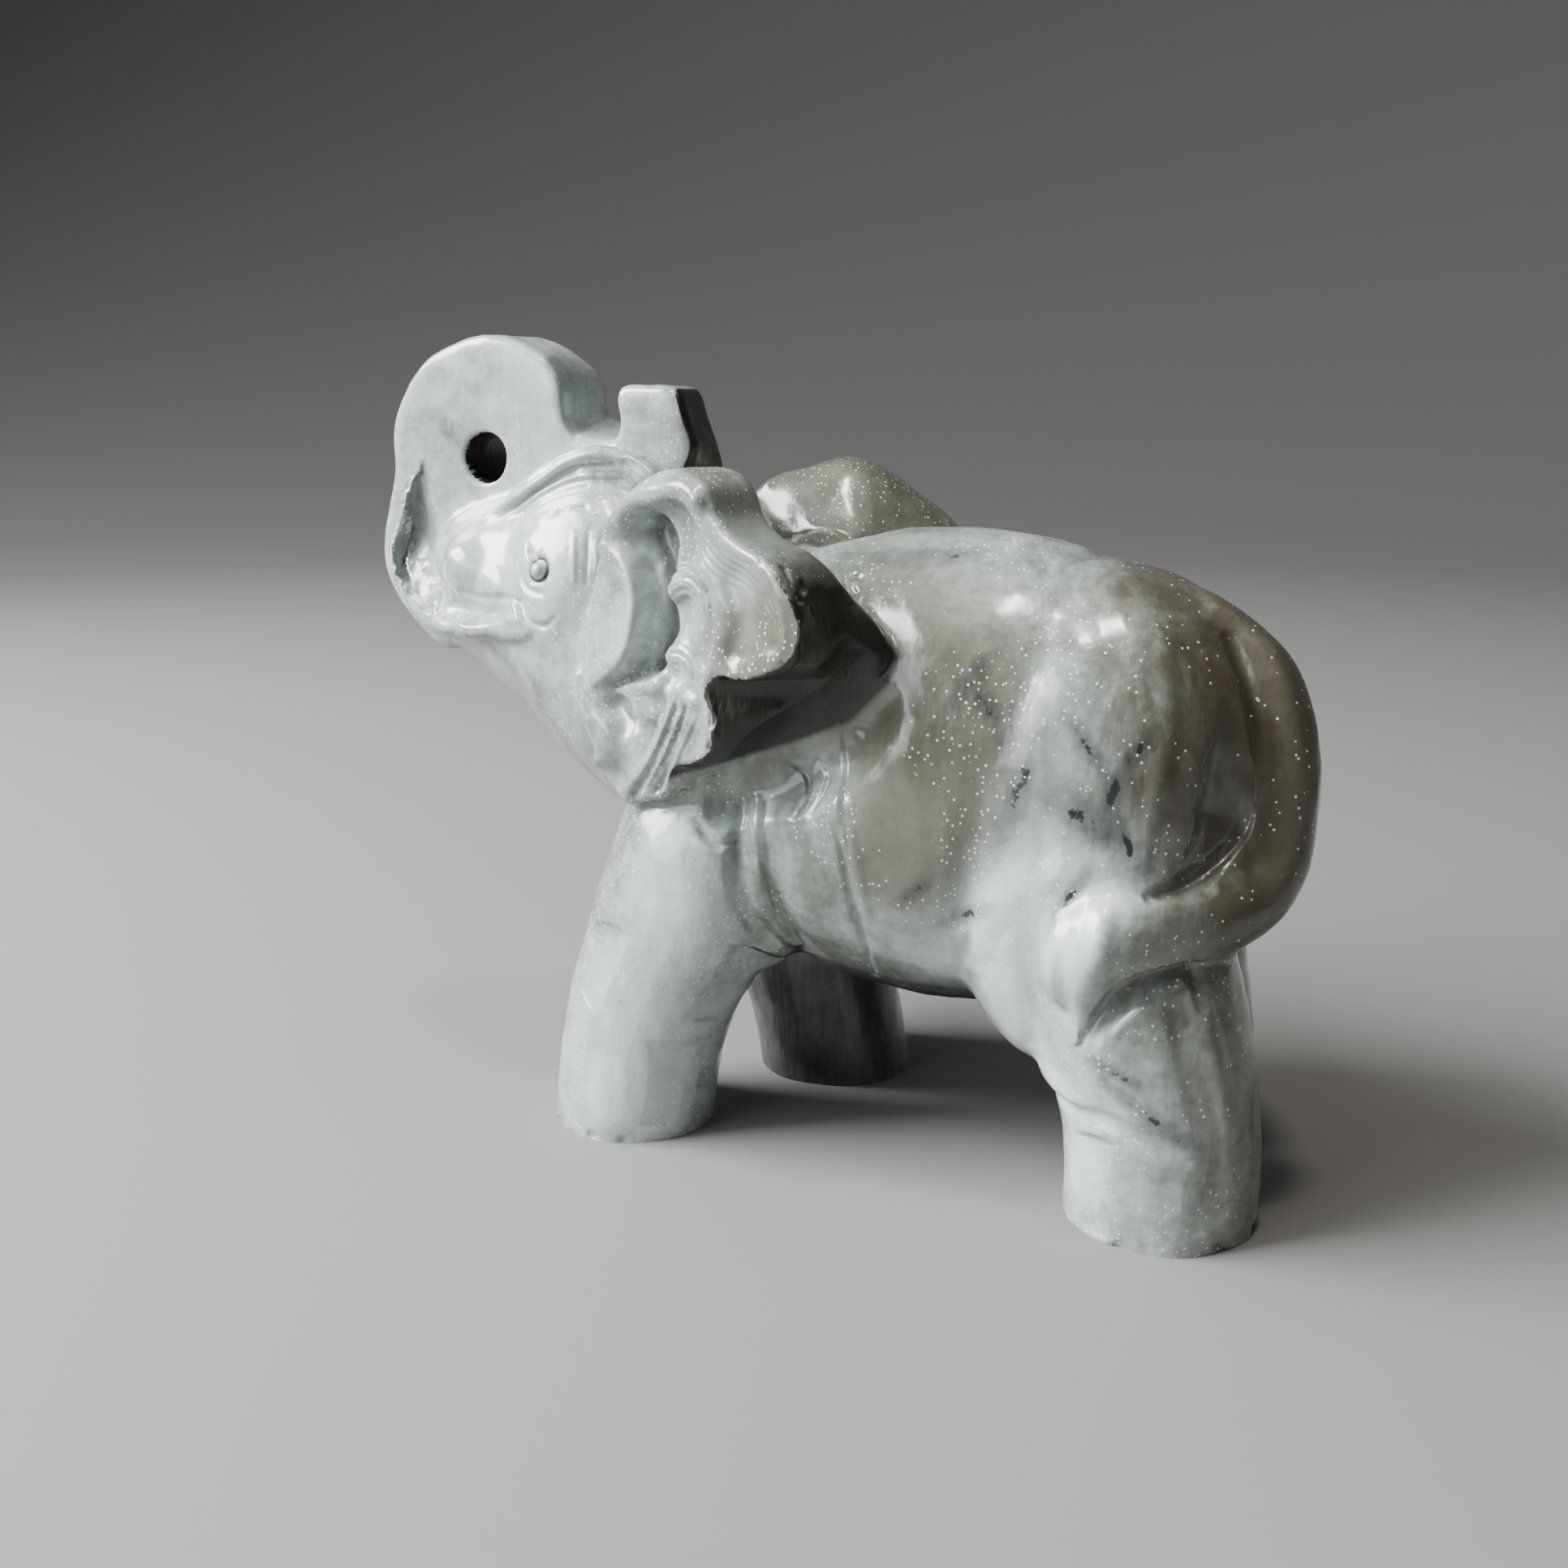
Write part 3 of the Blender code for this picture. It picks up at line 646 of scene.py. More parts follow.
def carveHead(surface):
    for side in (1, -1):
        for line in headStrokes.values():
            surface.stroke(line, side)
        surface.stroke(chipLine, side, rough=0.8)
        surface.stroke(mouth["edge"], side, banks=(1, 0.16))
        surface.stroke(mouth["lip"], side, rough=0.9)
        surface.stroke(mouth["lumps"], side)
        surface.stroke(mouth["lowLumps"], side)
        surface.stroke(eye["corner"], side)
        surface.stroke(eye["bag"], side)
        carveEye(surface, side)
    surface.chip([(y, z) for y, z, *_ in mouth["lip"]], 0.6, 0.22, 1.8, facing=0.1)
    carveValley(surface)


# A low ball in a ring that is deepest behind it.
def carveEye(surface, side):
    spot = np.array(eye["spot"])
    near = surface.nearby(spot[None], 2, side, 0.1)
    away = surface.points[near, 1:] - spot
    distance = np.linalg.norm(away, axis=1)
    ball = np.sqrt(np.clip(1 - (distance / eye["radius"]) ** 2, 0, 1)) * eye["height"]
    behind = 0.65 + 0.35 * away[:, 0] / np.maximum(distance, 0.1)
    ring = np.clip(1 - ((distance - eye["ring"]) / eye["ringWidth"]) ** 2, 0, 1) * eye["depth"] * behind
    surface.lift(near, ball - ring)


# The saddle between the curl and the tip of the trunk slopes down to the left.
def carveValley(surface):
    x, y, z = surface.points.T
    bottom = valley["bottom"]
    drop = np.interp(y, valley["y"], valley["drop"]) * softStep(z, bottom, bottom + 2)
    lean = np.clip((x + 3.7) / 7.4, 0, 1) ** 1.3 * (abs(x) < 4)
    surface.points[:, 2] -= drop * lean
    onTip = softStep(z, 50.5, 53.5) * (abs(x) < 4.5)
    atBack = onTip * softStep(y, -21.8, -19.2)
    atFront = softStep(z, 54, 57) * (abs(x) < 4.5) * softStep(y, -26, -23.4) * softStep(-y, 19.6, 22)
    surface.points[:, 1] += atBack * (tipSkew[0] + tipSkew[1] * x / 3.7) - atFront * tipSkew[2]


# Lines of the body on its left side as y, z, half width and height.
bodyStrokes = {
    "shoulderFold": [(-6.8, 28, 0.8, 0.2), (-6.4, 25, 0.9, 0.5), (-6.5, 22.6, 0.9, 0.5),
        (-6.2, 19.7, 0.9, 0.5), (-5.4, 16.5, 0.8, 0.3)],
    "shoulderGroove": [(-8.2, 28, 0.8, -0.2), (-7.9, 25, 0.9, -0.5), (-7.8, 22.4, 0.9, -0.5),
        (-7.4, 19.6, 0.9, -0.4), (-6.6, 16.6, 0.8, -0.2)],
    "band": [(-3, 29, 2.2, 0.1), (-2.8, 25, 2.8, 0.25), (-2.6, 20, 2.8, 0.2), (-2, 16, 2, 0.1)],
    "flankCrease": [(0.3, 27.4, 0.5, -0.1), (0.8, 25.1, 0.5, -0.25), (1.1, 21.4, 0.55, -0.3),
        (1.3, 18.1, 0.5, -0.3), (0.8, 14.5, 0.5, -0.15)],
    "flankLip": [(1.6, 27, 0.6, 0.1), (1.8, 25, 0.7, 0.12), (2.1, 21.4, 0.7, 0.15),
        (2.2, 18.2, 0.6, 0.1)],
    "flameA": [(-4.2, 31, 0.4, -0.1), (-3, 30.2, 0.45, -0.2), (-2.6, 29, 0.45, -0.25),
        (-3.2, 27.6, 0.4, -0.1)],
    "flameB": [(-2.2, 31.6, 0.35, -0.1), (-1.2, 30.6, 0.4, -0.2), (-1.2, 29.4, 0.4, -0.2),
        (-1.8, 28, 0.3, -0.1)],
    "armpit": [(-11, 26.4, 0.4, -0.1), (-10.2, 25.7, 0.5, -0.4), (-9.2, 24.9, 0.5, -0.4),
        (-8.4, 25, 0.4, -0.2)],
    "armpitFold": [(-10.6, 25.1, 0.4, 0.1), (-9.8, 24.6, 0.45, 0.25), (-8.8, 24.2, 0.45, 0.2)],
    "thigh": [(14.6, 38.5, 1.8, 0.1), (13.9, 35.1, 2.2, 0.25), (13.5, 32.4, 2.4, 0.28),
        (13, 29.7, 2.4, 0.32), (12.7, 26.4, 2.4, 0.35), (11.7, 23.2, 2.2, 0.4), (10.3, 20.4, 2, 0.4),
        (9.6, 18, 1.6, 0.25)],
    "thighGroove": [(10.8, 33, 1.6, -0.1), (10.2, 29, 1.8, -0.18), (9.8, 25, 1.8, -0.22),
        (8.8, 21, 1.5, -0.2)],
    "leafCrest": [(19.8, 25, 1, 0.1), (19.9, 22, 1.3, 0.35), (19.3, 19, 1.3, 0.4),
        (18.3, 16.4, 1, 0.25)],
    "leafFront": [(17.6, 24.4, 1, -0.1), (17.4, 21.6, 1.2, -0.25), (17.3, 18.8, 1, -0.25),
        (17.4, 16.6, 0.7, -0.1)],
    "hindFront": [(14.6, 11.8, 1.2, 0.2), (15.2, 10.6, 1.4, 0.45), (16.8, 9.9, 1.2, 0.35),
        (18.6, 9.2, 1, 0.15)],
    "hindStep": [(14.8, 9.3, 0.6, -0.3), (16.3, 8.9, 0.7, -0.4), (18, 9, 0.8, -0.35),
        (20.7, 9.2, 0.9, -0.3), (23.6, 8.2, 0.9, -0.25), (26, 6.8, 0.8, -0.15)],
    "hindToe": [(19, 7.6, 1.2, 0.15), (21.4, 7.6, 1.3, 0.25), (24, 6.6, 1.3, 0.2)],
    "hindContour": [(25.3, 18.3, 0.7, 0.2), (26.4, 15.3, 0.8, 0.3), (27.4, 11.9, 0.8, 0.3),
        (28.2, 8.3, 0.8, 0.2)],
    "hindGroove": [(24.2, 17.6, 0.9, -0.2), (25.1, 14.8, 1, -0.3), (26, 11.5, 1, -0.25),
        (26.6, 8.2, 0.9, -0.15)],
    "notch": [(25.1, 20.2, 0.4, -0.2), (25.4, 18.8, 0.5, -0.5), (25.9, 17.2, 0.4, -0.2)],
}
# Cuts with one steep bank and one long one: y, z, half width and height, then the shares of the width.
bodyCliffs = [
    ([(0, 33.4, 0.6, -0.1), (0.4, 31.6, 0.6, -0.25), (0.8, 29.5, 0.6, -0.3), (1, 27.4, 0.6, -0.1)],
        (4, 1)),
    ([(18.3, 14.8, 0.8, -0.4), (19.4, 16.8, 1.1, -1.1), (20.8, 18.6, 1.2, -1.3), (22.8, 19.7, 1.2, -1.2),
        (24.6, 20.1, 1, -0.8), (26, 20, 0.8, -0.3)], (0.35, 1.8)),
]
# Lines about the rump as x, y, z, half width and height.
rumpStrokes = {
    "haunchEdge": [(7.6, 21, 40.9, 1, 0.1), (9.7, 21.9, 37.9, 1.2, 0.15), (11.2, 22.3, 34.4, 1.2, 0.18),
        (12, 22.1, 31.8, 1.2, 0.18), (12.4, 21.6, 29.9, 1.2, 0.18), (13, 21.3, 27, 1.1, 0.18)],
    "tailInside": [(3.6, 24.6, 40.6, 0.9, -0.3), (4.9, 26.2, 37.4, 1, -0.5),
        (6.2, 27.3, 32.2, 1.1, -0.6), (6.8, 27, 28.7, 1.1, -0.6), (8.4, 25.9, 26.7, 1, -0.6),
        (10.6, 24.2, 25.4, 1, -0.5), (13.6, 22.2, 24.6, 0.8, -0.5)],
}
facets = [  # y, z, reach, sink and tilt of each flat
    (-10.5, 13.5, 4, 0.12, (0.2, 0)), (-18, 14, 4, 0.12, (-0.2, 0.1)), (-15, 5, 4, 0.1, (0.1, 0)),
    (20, 4, 4, 0.12, (-0.1, 0)), (26, 5, 3.5, 0.12, (0.2, 0)), (5, 20, 5, 0.08, (0, -0.1)),
    (8, 36, 6, 0.08, (0, 0.1)),
]
soleEdges = [[(-27, 0.2), (-13, 0.2)], [(14, 0.2), (31, 0.2)]]


def carveBody(surface):
    for line in bodyStrokes.values():
        surface.stroke(line, facing=0.02)
    for name in ("shoulderFold", "shoulderGroove", "thigh", "thighGroove"):
        surface.stroke(bodyStrokes[name], -1)
    for line, banks in bodyCliffs:
        surface.stroke(line, banks=banks, facing=-0.2)
    for line in rumpStrokes.values():
        surface.strokeRound(line)
    for y, z, reach, sink, tilt in facets:
        surface.facet(y, z, reach, sink, tilt)
    for line in soleEdges:
        surface.chip(line, 0.7, 0.3, 2.6)


# The fine lines in the left ear: shells about the ear's hole, and lines that follow the rim.
earLines = {
    "shell": [(-12.6, 43), (-11.6, 43.7), (-10.5, 44), (-9.6, 43.6), (-9.1, 42.8), (-9, 41.6)],
    "lowShell": [(-12.6, 38.4), (-11.2, 38.6), (-10.3, 38), (-10, 37)],
    "rim": [(-8.6, 49.4), (-7.2, 48.4), (-5.7, 47.2), (-3.6, 46.4), (-2, 45.2), (-0.9, 44), (-0.2, 42.4),
        (-0.5, 40.4)],
    "fan": [(-10.3, 36.4), (-11.8, 33.4), (-13.4, 30.8), (-15.2, 28.4)],
    "dishEdge": [(-3, 46.1, 0.4, 0.05), (-1.3, 44.6, 0.45, 0.12), (-0.1, 42.2, 0.5, 0.15),
        (-0.8, 39.6, 0.5, 0.15), (-2.6, 38.8, 0.45, 0.15), (-4.8, 38.2, 0.45, 0.15),
        (-7.2, 38, 0.45, 0.1)],
    "fanEdge": [(-8.4, 36.8, 0.4, 0.08), (-7.9, 34.8, 0.4, 0.12), (-8, 32.8, 0.4, 0.12),
        (-9.6, 31.6, 0.4, 0.12), (-12, 30.8, 0.4, 0.12), (-12.9, 28.7, 0.4, 0.1),
        (-14.8, 27.9, 0.4, 0.08)],
}


def carveEarLines(surface):
    surface.ripples(earLines["shell"], (-1.7, 1.7), 0.58, 0.065)
    surface.ripples(earLines["lowShell"], (-1.4, 1.4), 0.58, 0.065)
    surface.ripples(earLines["rim"], (0.3, 3.4), 0.52, 0.05, hands=(0, 1))
    surface.stroke(earLines["dishEdge"], facing=-0.4)
    surface.stroke(earLines["fanEdge"], facing=-0.4)
    for line in ("dishEdge", "fanEdge"):
        surface.chip([(y, z) for y, z, *_ in earLines[line]], 0.5, 0.25, 1.7, facing=0.05)
    surface.ripples(earLines["fan"], (-2.4, 2.4), 0.6, 0.06)


grain = {"rough": 0.32, "fine": 0.22, "roughSmooth": 12, "fineSmooth": 3, "triangles": 196000}


def skin(thing, size, rounds):
    applyModifier(thing, "REMESH", mode="VOXEL", voxel_size=size * mm)
    if rounds:
        applyModifier(thing, "SMOOTH", factor=0.5, iterations=rounds)


def addDrill():
    holeY, holeZ = trunk["hole"]
    deselectAll()
    bpy.ops.mesh.primitive_cylinder_add(
        vertices=64, radius=trunk["holeDiameter"] / 2 * mm, depth=30 * mm,
        location=place(0, holeY, holeZ), rotation=(0, math.radians(90), 0))
    return bpy.context.object


# The four soles are cut flat at the ground.
def cutSoles(thing):
    pick(thing)
    setMode("EDIT")
    bpy.ops.mesh.select_all(action="SELECT")
    bpy.ops.mesh.bisect(plane_co=(0, 0, 0), plane_no=(0, 0, 1), use_fill=True, clear_inner=True)
    setMode("OBJECT")


def soften(thing):
    for rounds, spots in softSpots:
        pick(thing)
        points = Surface(thing).points
        chosen = np.zeros(len(points), bool)
        for x, y, z, reach in spots:
            for side in (1, -1) if x > 0 else (1,):
                chosen |= ((points - (x * side, y, z)) ** 2).sum(1) < reach ** 2
        for layer in (thing.data.polygons, thing.data.edges):
            layer.foreach_set("select", np.zeros(len(layer), bool))
        thing.data.vertices.foreach_set("select", chosen)
        setMode("EDIT")
        bpy.ops.mesh.select_mode(type="VERT")
        bpy.ops.mesh.vertices_smooth(factor=0.5, repeat=rounds)
        setMode("OBJECT")


# The faces of the left ear, the face and the eye are split for their fine lines.
def splitFaces(thing):
    pick(thing)
    mesh = thing.data
    middles, normals = (np.zeros(len(mesh.polygons) * 3, np.float32) for _ in range(2))
    mesh.polygons.foreach_get("center", middles)
    mesh.polygons.foreach_get("normal", normals)
    x, y, z = middles.reshape(-1, 3).T / mm
    y = y - middle
    faceSide = normals.reshape(-1, 3)[:, 0] > 0.1
    onHead = (y > -46) & (y < -20) & (z > 38) & (z < 53) & (x > 3)
    onEarFace = (y > -23) & (y < 1) & (z > 26) & (z < 53) & (x > onEar(y, 0)[0] - 3)
    chosen = faceSide & (onHead | onEarFace)
    mesh.polygons.foreach_set("select", chosen)
    setMode("EDIT")
    bpy.ops.mesh.select_mode(type="FACE")
    bpy.ops.mesh.subdivide(number_cuts=1)
    setMode("OBJECT")


def modelElephant():
    clay = joinAll("elephantStone", addTorsoAndLegs() + addHead() + [addTail()])
    skin(clay, grain["rough"], grain["roughSmooth"])
    print("torso, legs, head and tail", len(clay.data.vertices))
    sides = [addTrunk(), addEar(1, ear["scalloped"]), addEar(-1, ear["plain"])]
    clay = joinAll("elephantStone", [clay, *sides])
    skin(clay, grain["rough"], 1)
    print("trunk and ears", len(clay.data.vertices))
    surface = Surface(clay)
    carveEar(surface, 1, earFace["both"] + earFace["left"], ear["scalloped"])
    carveEar(surface, -1, earFace["both"] + earFace["right"], ear["plain"])
    surface.write()
    tool = joinAll("gougeTools", addGouges())
    skin(tool, grain["rough"], 2)
    cut(clay, tool)
    cut(clay, addDrill())
    print("gouges and drill")
    skin(clay, grain["fine"], grain["fineSmooth"])
    soften(clay)
    splitFaces(clay)
    surface = Surface(clay)
    carveBody(surface)
    surface.write()
    carveHead(surface)
    surface.write()
    carveEarLines(surface)
    surface.sway(7, 0.08, 3)
    surface.sway(2.4, 0.03, 5)
    surface.write()
    print("fine carving", len(clay.data.vertices))
    cutSoles(clay)
    clay.data.calc_loop_triangles()
    applyModifier(clay, "DECIMATE", ratio=grain["triangles"] / len(clay.data.loop_triangles),
                  use_collapse_triangulate=True)
    keepInBox(clay)
    markColours(clay)
    pick(clay)
    bpy.ops.object.shade_smooth_by_angle(angle=math.radians(50))
    clay.data.calc_loop_triangles()
    print("elephant has", len(clay.data.loop_triangles), "triangles")
    return clay


# The line under the ear's back where its darkening ends, as y and z: rough dark stone and painted shade.
wallShadeLine = [(-20, 27.5), (-16, 28.5), (-9.7, 30.5), (-4, 32.4), (0.5, 34.4), (3.6, 37.4), (5, 41),
    (6, 48)]
# Pale passages on the left side as y, z and reach: paler stone, partly painted sheen on the thigh, the
# tail's leaf, the lower hind leg and a spot of the left ear; and the reach of the olive flank.
paleAndSheenPassages = [
    [(14.4, 38, 2), (13.4, 32, 3), (12.9, 27, 3.4), (11.5, 22, 3.6), (11.6, 18, 4), (14, 12, 4.5),
        (17.5, 5, 7)],
    [(19.5, 25, 2.6), (17.6, 21, 3.2), (17.6, 16.4, 2.6)],
    [(-12, 20, 5), (-15, 12, 5), (-18, 4, 6)],
    [(-5, 43.4, 2), (-4.8, 41, 2)],
]
oliveFlank = [(-4, 40, 6), (2, 38, 9), (8, 34, 9), (5, 26, 6)]


# How far the surface is in a passage, on the side that is seen.
def passage(surface, corners):
    line = smoothLine(corners)
    distance, along, _ = nearLine(surface.points[:, 1:], line[:, :2])
    reach = np.interp(along, np.arange(len(line)), line[:, 2])
    seen = (surface.normals[:, 0] > -0.5) & (surface.points[:, 0] > 0)
    return np.clip(1.3 - distance / reach, 0, 1) * seen


# How strong the darkening is in each place, mostly painted shade and on the ears' back walls rough dark
# stone too, and the pale and olive tints of the head and the saddle.
shades = {"wall": 1, "channel": 0.46, "tipRear": 0.9, "curlRear": 0.42, "drill": 0.9, "mouth": 0.5,
    "eyeRing": 0.8, "underJaw": 0.3, "belly": 0.75, "innerLegs": 0.6, "paleHead": 0.65,
    "oliveSaddle": 0.5}


# Three values for the colours: darkening in the hollows, on faces turned to the back and below, mostly
# painted shade, and the pale and olive passages, the pale ones in part painted sheen.
def markColours(thing):
    surface = Surface(thing)
    x, y, z = surface.points.T
    nx, ny, nz = surface.normals.T
    ax, anx = abs(x), nx * np.sign(x)
    outside = np.ones(len(x), bool)
    for side, rear in ((1, ear["scalloped"]), (-1, ear["plain"])):
        loop = smoothLoop(ear["top"] + rear + ear["lower"], 6)
        outside &= ~(insideLoop(surface.points[:, 1:], np.vstack([loop, loop[:1]])) & (x * side > 8))
    lineY, lineZ = np.array(wallShadeLine).T
    wall = softStep(z - np.interp(y, lineY, lineZ), -0.4, 0.8) * outside
    wall *= (z < 52) * (y > -19) * (y < 5)
    wallX = np.interp(z, (28, 34, 38, 44), (9.5, 10.6, 12, 12.4))
    wall *= softStep(0.8 - nz, 0, 0.4) * softStep(ax - wallX, 0, 0.5)
    off = (ax - onEar(y, z)[0]) * ~outside
    onTrunk = (ax < 4.2) & (z > 50)
    holeY, holeZ = trunk["hole"]
    fromLip, _, hand = nearLine(surface.points[:, 1:], smoothLine(mouth["lip"])[:, :2])
    fromEye = np.hypot(y - eye["spot"][0], z - eye["spot"][1])
    places = {
        # the ears' back walls: partly rough dark stone, partly painted shade
        "wall": wall * np.interp(z, (43.5, 47), (1, 0.3)) * np.where(x > 0, 1, 0.5),
        # painted shade in the deep channel of the ear's hollow
        "channel": softStep(-off, 0.9, 2.2) * (off > -3.4),
        # painted shade on the faces of the trunk's tip and curl that turn to the back
        "tipRear": softStep(ny, 0.3, 0.7) * onTrunk * (y > -20.5),
        "curlRear": softStep(ny, 0.2, 0.7) * onTrunk * (y < -24) * (z > 52),
        # painted shade inside the drilled hole
        "drill": (np.hypot(y - holeY, z - holeZ) < 2.1) * (ax < 3.4),
        # painted shade in the mouth's recess
        "mouth": softStep(3.4 - fromLip, 0, 2.8) * (hand > 0) * (ax < 6.5) * (anx > 0.2),
        # darker in the ring groove about the eye
        "eyeRing": np.clip(1 - abs(fromEye - eye["ring"] + 0.05) / 0.3, 0, 1) * (ax > 6),
        # painted shade under the jaw and under the belly, on faces turned down
        "underJaw": softStep(-nz, 0.35, 0.8) * (y < -18) * (z > 25),
        "belly": softStep(-nz, 0.45, 0.95) * (y > -8) * (z > 6),
        # darker on the right legs, on all but their outer faces, towards the ground
        "innerLegs": softStep(nx, -0.75, 0.6) * (x < -1) * softStep(17 - z, 0, 9),
    }
    shadeAndDirt = np.max([where * shades[name] for name, where in places.items()], axis=0)
    pale = shades["paleHead"] * softStep(-y, 19, 27) * softStep(z, 34, 42)
    pale = np.max([pale, *(passage(surface, corners) for corners in paleAndSheenPassages)], axis=0)
    farDome = (x < -6) * softStep(z, 38, 44) * (y > -17)
    saddle = softStep(z, 40, 44) * softStep(y, -14, -10) * softStep(6 - y, 0, 6) * (x > -6)
    olive = np.max([passage(surface, oliveFlank), farDome, saddle * shades["oliveSaddle"]], axis=0)
    for name, value in (("shadeAndDirt", shadeAndDirt), ("pale", pale), ("olive", olive)):
        shade = thing.data.attributes.new(name, "FLOAT", "POINT")
        shade.data.foreach_set("value", value.astype(np.float32))


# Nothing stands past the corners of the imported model.
def keepInBox(thing):
    points = np.zeros(len(thing.data.vertices) * 3, np.float32)
    thing.data.vertices.foreach_get("co", points)
    points = np.clip(points.reshape(-1, 3), cadLow, cadHigh)
    thing.data.vertices.foreach_set("co", points.ravel().astype(np.float32))
    thing.data.update()


# A socket whose arithmetic adds nodes.
class Socket:
    def __init__(self, paint, link):
        self.paint = paint
        self.link = link

    def math(self, operation, other):
        return self.paint.node("ShaderNodeMath", {"operation": operation}, {0: self, 1: other})

    def __add__(self, other):
        return self.math("ADD", other)

    def __radd__(self, other):
        return self.math("ADD", other)

    def __sub__(self, other):
        return self.math("SUBTRACT", other)

    def __rsub__(self, other):
        return self.paint.node("ShaderNodeMath", {"operation": "SUBTRACT"}, {0: other, 1: self})

    def __mul__(self, other):
        return self.math("MULTIPLY", other)

    def __rmul__(self, other):
        return self.math("MULTIPLY", other)


# The nodes of one material.
class Paint:
    def __init__(self, name):
        self.material = bpy.data.materials.new(name)
        self.material.use_nodes = True
        self.tree = self.material.node_tree
        self.shader = self.tree.nodes["Principled BSDF"]

    def node(self, kind, settings=None, sockets=None, output=0):
        made = self.tree.nodes.new(kind)
        for setting, value in (settings or {}).items():
            setattr(made, setting, value)
        for socket, value in (sockets or {}).items():
            self.feed(made.inputs[socket], value)
        return Socket(self, made.outputs[output])

    def feed(self, socket, value):
        if isinstance(value, Socket):
            self.tree.links.new(value.link, socket)
        else:
            socket.default_value = value

    def mix(self, share, first, second):
        return self.node("ShaderNodeMix", {"data_type": "RGBA"}, {0: share, 6: first, 7: second}, 2)

    def noise(self, where, scale, detail, roughness, distortion=0):
        return self.node("ShaderNodeTexNoise", None,
                         {"Vector": where, "Scale": scale, "Detail": detail, "Roughness": roughness,
                          "Distortion": distortion})

    def attribute(self, name):
        return self.node("ShaderNodeAttribute", {"attribute_name": name}, None, 2)

    def span(self, value, low, high, newLow=0, newHigh=1):
        return self.node("ShaderNodeMapRange", {"interpolation_type": "SMOOTHSTEP"},
                         {0: value, 1: low, 2: high, 3: newLow, 4: newHigh})


stoneFinish = {
    "pale": (0.44, 0.495, 0.465, 1),
    "palest": (0.66, 0.73, 0.7, 1),
    "mid": (0.235, 0.26, 0.23, 1),
    "dark": (0.12, 0.128, 0.105, 1),
    "oliveGrey": (0.098, 0.094, 0.062, 1),
    "brown": (0.058, 0.043, 0.024, 1),
    # the colour of the painted shade and of the rough dark stone
    "shadeAndDirt": (0.013, 0.0105, 0.007, 1),
    "fleck": (0.022, 0.025, 0.03, 1),
    "speck": (0.8, 0.82, 0.8, 1),
    "speckPitch": 0.46,
    "speckSize": 0.115,
}
# Dark veins in the left flank and haunch, as x, y, z, length, width and slant.
veins = [
    (11, 2, 45.4, 2.6, 0.5, 4), (10.5, 5.6, 45.6, 1.2, 0.4, 10), (14.6, 9, 37.4, 2.2, 0.5, 60),
    (14.6, 10.4, 36.6, 1.6, 0.5, -50), (14.8, 12.4, 35, 1.7, 0.5, 80),
    (14.8, 13.2, 31, 2.8, 0.7, 75), (14.4, 17.6, 29.8, 2.4, 0.9, -30),
    (14.2, 19.4, 31.4, 2, 0.5, 70), (14, 17.4, 34.4, 1.8, 0.4, -50), (14.2, 20.6, 34, 1.6, 0.4, 55),
    (14.6, 6, 23.2, 1.4, 0.4, 40), (14, 9.6, 21.8, 1.6, 0.5, 30), (13, 17.2, 24.4, 1.6, 0.4, 60),
    (13.4, 20.4, 28.2, 1.8, 0.4, -65), (14, 23.2, 10, 3, 0.5, -35),
    (13.6, 20.8, 12.8, 1.6, 0.4, -20),
]


